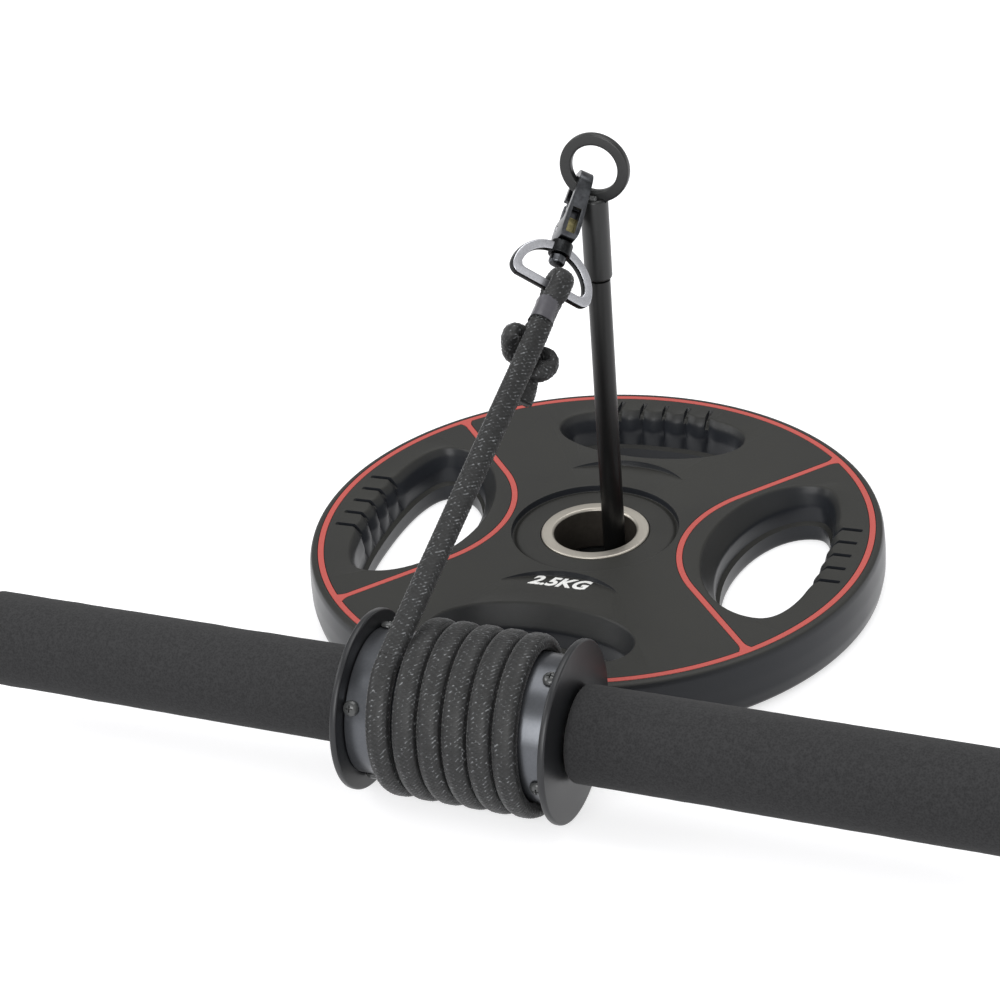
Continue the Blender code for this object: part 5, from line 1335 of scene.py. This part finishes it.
# %% Pin and rivet
pin_profile = rounded(post(0.8 * MM, -3.3 * MM, 3.3 * MM), 0.25 * MM, closed=False)
pin = turned(pin_profile, 36, hook_place @ pin_line)
finished("hook_gate_pin", painted(pin, satin_nickel), "snap_hook", ["gate_pin"])
shank_top, head_top = -SLOT_BOTTOM - FIT, -BOSS_BOTTOM - FIT
SHANK, RIVET_HEAD = 1.8 * MM, 2.95 * MM
rivet_profile = [(0, shank_top), (SHANK, shank_top), (SHANK, head_top), (RIVET_HEAD, head_top)]
rivet_profile += [(RIVET_HEAD, -BOSS_BOTTOM - 3.0 * MM), (2.2 * MM, -BOSS_BOTTOM - 3.6 * MM)]
rivet_profile += [(0, -BOSS_BOTTOM - 3.6 * MM)]
rivet = turned(rounded(rivet_profile, 0.5 * MM, closed=False), 56, hook_place)
finished("hook_rivet", painted(rivet, black_nickel), "snap_hook", ["swivel_rivet"])

# %% The gate: a thin lever with a broad toothed pad for the thumb
top, teeth = -BOW_TIP - FIT, []
for i in range(4):
    z = top - 3.4 * MM - i * 1.1 * MM
    teeth += [(GATE_PAD, z), (GATE_PAD - 0.5 * MM, z - 0.77 * MM)]
pad_foot = [(GATE_PAD, top - 7.8 * MM)]
gate_outline = [(BOW_INNER, top), (BOW_OUTER, top - 0.6 * MM), (BOW_OUTER, top - 2.4 * MM)]
gate_outline += teeth + pad_foot + [(BOW_OUTER - 0.4 * MM, -SLOT_TOP - 0.8 * MM)]
gate_outline += arc((PIVOT_Y, PIVOT_Z), 2.0 * MM, math.radians(-10), math.radians(-200), 24)
gate_outline += [(BOW_INNER - 1 * MM, -SLOT_TOP + 0.6 * MM), (BOW_INNER, -SLOT_TOP + 3 * MM)]
thumb_pad = [(BOW_OUTER - 1.0 * MM, top - 1.2 * MM), (BOW_OUTER, top - 1.4 * MM)]
thumb_pad += [(BOW_OUTER, top - 2.4 * MM)] + teeth + pad_foot
thumb_pad += [(BOW_OUTER - 0.6 * MM, -SLOT_TOP + 0.5 * MM), (BOW_INNER + 1 * MM, -SLOT_TOP + 0.5 * MM)]
gate = carved(flat_piece([gate_outline], GATE_HALF, axis="X", edge=0.2 * MM), pin_hole)
gate = carved(gate, flat_piece([thumb_pad], 2.1 * MM, axis="X", edge=0.4 * MM), operation="UNION")
gate.transform(hook_place)
finished("snap_gate_cast", painted(gate, black_nickel), "gate", ["snap_gate"])

# %% The spring: a brass tongue under a plated shoulder
tongue = mm((-2.9, -19.5), (-2.3, -19.5), (-2.1, -15.6), (-1.9, -12.4), (-2.4, -12.4), (-2.7, -15.6))
shoulder = mm((-2.6, -13.6), (-1.9, -13.4), (0.6, -9.4), (0.4, -8.8))
shoulder += mm((-2.2, -9.2), (-3.4, -8.9), (-3.4, -9.6), (-2.8, -10.2))
leaves = []
for outline, half in ((tongue, 1.75 * MM), (shoulder, 2.35 * MM)):
    leaves.append(flat_piece([rounded(outline, 0.2 * MM)], half, axis="X", edge=0.06 * MM))


def on_shoulder(polygon):
    """Whether a face of the spring belongs to its shoulder."""
    return abs(polygon.center.x) > 1.8 * MM or polygon.center.z > -12.4 * MM


spring_leaf = painted(joined(leaves), spring_brass, black_nickel, on_shoulder)
spring_leaf.transform(hook_place)
finished("hook_spring", spring_leaf, "snap_hook", ["gate_spring"])

# %% [markdown]
# ## The sleeve on the rope
#
# Two strands of the rope are bound side by side by a short length of adhesive-lined heat-shrink. It
# holds both as one rounded block, and its cut ends are slightly flared. It is a loft of rounded
# rectangles down its outside and up its inside, so it is a real tube round the strands.

# %% Heat-shrink sleeve
heat_shrink = finish("heat_shrink_polyolefin", "3f3e43", "4a494e", 0.42, 0.0, 1.5, 0.15, 0.4)
OUTER_WALL, INNER_WALL, END_FLARE = 0.5 * MM, 0.1 * MM, 0.25 * MM
depth = HELD + ROPE_THICKNESS * HELD_SIZE / 2
half_width = ROPE_WIDTH * HELD_SIZE / 2 + 0.1 * MM
corner, slant = half_width * 0.85, HELD_SIDE / (2 * HELD)
outside = [(OUTER_WALL, share) for share in (0.0, 0.05, 0.2, 0.5, 0.8, 0.95, 1.0)]
rings = []
for wall, share in outside + [(INNER_WALL, share) for share in (1.0, 0.5, 0.0)]:
    ring = []
    size = corner + wall + END_FLARE * max(0.0, abs(share - 0.5) * 2 - 0.7) / 0.3
    for i, (sx, sy) in enumerate(((1, 1), (-1, 1), (-1, -1), (1, -1))):
        centre = (sx * (half_width - corner), sy * (depth - corner))
        ring += arc(centre, size, i * math.pi / 2, (i + 1) * math.pi / 2, 14)
    z = -(SHRINK_TOP + 0.3 * MM + (SHRINK_BOTTOM - SHRINK_TOP - 0.6 * MM) * share)
    rings.append([swivel_place @ in_line(Vector((u + HELD_SIDE / 2 + v * slant, v, z))) for u, v in ring])
sleeve_mesh = painted(lofted(rings, ends=False), heat_shrink)
shrink = finished("rope_shrink_sleeve", sleeve_mesh, "rope", ["ferrule"])

# %% [markdown]
# ## The weight mark
#
# The front pocket carries the plate's mass in plain white figures, printed on the sloping floor. A
# text object is flat, so it is turned into a mesh, laid on the pocket's slope and given a film of
# paint a tenth of a millimetre thick. The figures are drawn out along the slope, so that they keep
# their height when they are seen from the front.

# %% White figures in the front pocket
pad_ink = finish("white_pad_print_ink", "dcdcda", "f2f2f0", 0.5, 0.0, 0.5, 0.03)
MARK_SIZE, MARK_X, MARK_Y, UP_SLOPE, PROUD = 9.3 * MM, -1.2 * MM, -39.7 * MM, 6.3 * MM, 0.08 * MM
text = bpy.data.curves.new("mass_mark", "FONT")
text.body, text.size, text.align_x, text.align_y = "2.5KG", MARK_SIZE, "CENTER", "CENTER"
text.extrude, text.offset, text.shear = 0.06 * MM, 0.3 * MM, 0.2
mark = evaluated(placed("mass_mark", text))
mark.transform(Matrix.Rotation(-POCKET_SLOPE, 4, "X") @ Matrix.Diagonal((0.9, 1.28, 1, 1)))
mark_z = PLATE_TOP - POCKET_DEPTH + UP_SLOPE * math.tan(POCKET_SLOPE) + PROUD
mark.transform(Matrix.Translation((MARK_X, MARK_Y, mark_z)))
mark.transform(PLATE_PLACE)
finished("plate_mass_mark", painted(mark, pad_ink), "weight_plate")

# %% [markdown]
# ## Floor, light and background
#
# The photograph is a cut-out on white with a faint shadow, lit softly from above. The floor is a
# pale surface that takes the shadow. Where a camera or a mirror ray meets it, some white is added,
# so that it reads as white paper. The world is white behind everything, but the pieces are lit by,
# and mirror, a plain grey one of about half its strength. Four soft lamps do most of the lighting.


# %% The floor
def seen_by(tree, *kinds):
    """1 for a ray of one of these kinds, and 0 for any other."""
    rays = add(tree, "ShaderNodeLightPath").outputs
    seen = rays[kinds[0]]
    for kind in kinds[1:]:
        seen = calc(tree, "MAXIMUM", seen, rays[kind])
    return seen


WHITE = (1, 1, 1, 1)
floor_mesh = bpy.data.meshes.new("floor")
floor_mesh.from_pydata([(-4, -4, 0), (4, -4, 0), (4, 6, 0), (-4, 6, 0)], [], [(0, 1, 2, 3)])
placed("floor", floor_mesh)
paper = bpy.data.materials.new("white_paper")
paper.use_nodes = True
tree = paper.node_tree
tree.nodes.clear()
seen = seen_by(tree, "Is Camera Ray", "Is Glossy Ray", "Is Transmission Ray")
matt = add(tree, "ShaderNodeBsdfDiffuse", {"Color": linear("c4c4c6")}).outputs[0]
glow = add(tree, "ShaderNodeEmission", {"Color": WHITE, "Strength": 0.62}).outputs[0]
plain = add(tree, "ShaderNodeAddShader", {0: matt, 1: glow}).outputs[0]
floor_mix = add(tree, "ShaderNodeMixShader", {0: seen, 1: matt, 2: plain})
add(tree, "ShaderNodeOutputMaterial", {"Surface": floor_mix.outputs[0]})
floor_mesh.materials.append(paper)
print("floor:", paper.name)

# %% The world
world = bpy.data.worlds.new("studio")
bpy.context.scene.world = world
world.use_nodes = True
tree = world.node_tree
tree.nodes.clear()
seen = seen_by(tree, "Is Camera Ray", "Is Transmission Ray")
ambient = add(tree, "ShaderNodeBackground", {"Color": WHITE, "Strength": 0.55}).outputs[0]
white = add(tree, "ShaderNodeBackground", {"Color": WHITE, "Strength": 1.0}).outputs[0]
sky = add(tree, "ShaderNodeMixShader", {0: seen, 1: ambient, 2: white})
add(tree, "ShaderNodeOutputWorld", {"Surface": sky.outputs[0]})
print("world:", world.name)


# %% Four soft lamps
def soft_lamp(name, spot, aim, size, power):
    """A square area lamp that faces a point."""
    lamp = placed(name, bpy.data.lights.new(name, "AREA"))
    lamp.data.size, lamp.data.energy = size, power
    way = Vector(spot) - Vector(aim)
    lamp.matrix_world = Matrix.Translation(spot) @ way.to_track_quat("Z", "Y").to_matrix().to_4x4()
    print(f"{name}: {power} W, {size} m wide, {way.length:.2f} m away")


soft_lamp("overhead", (0.1, 0.35, 1.5), (0, 0, 0), 1.3, 13.0)
soft_lamp("left_window", (-1.3, -0.5, 0.9), (0, 0, 0.05), 0.9, 9.0)
soft_lamp("right_fill", (1.3, -0.3, 0.8), (0, 0, 0.05), 0.9, 1.4)
soft_lamp("front_softbox", (0.1, -1.6, 0.8), (0, 0, 0.05), 1.0, 19.0)
bpy.context.scene.view_settings.view_transform = "Standard"
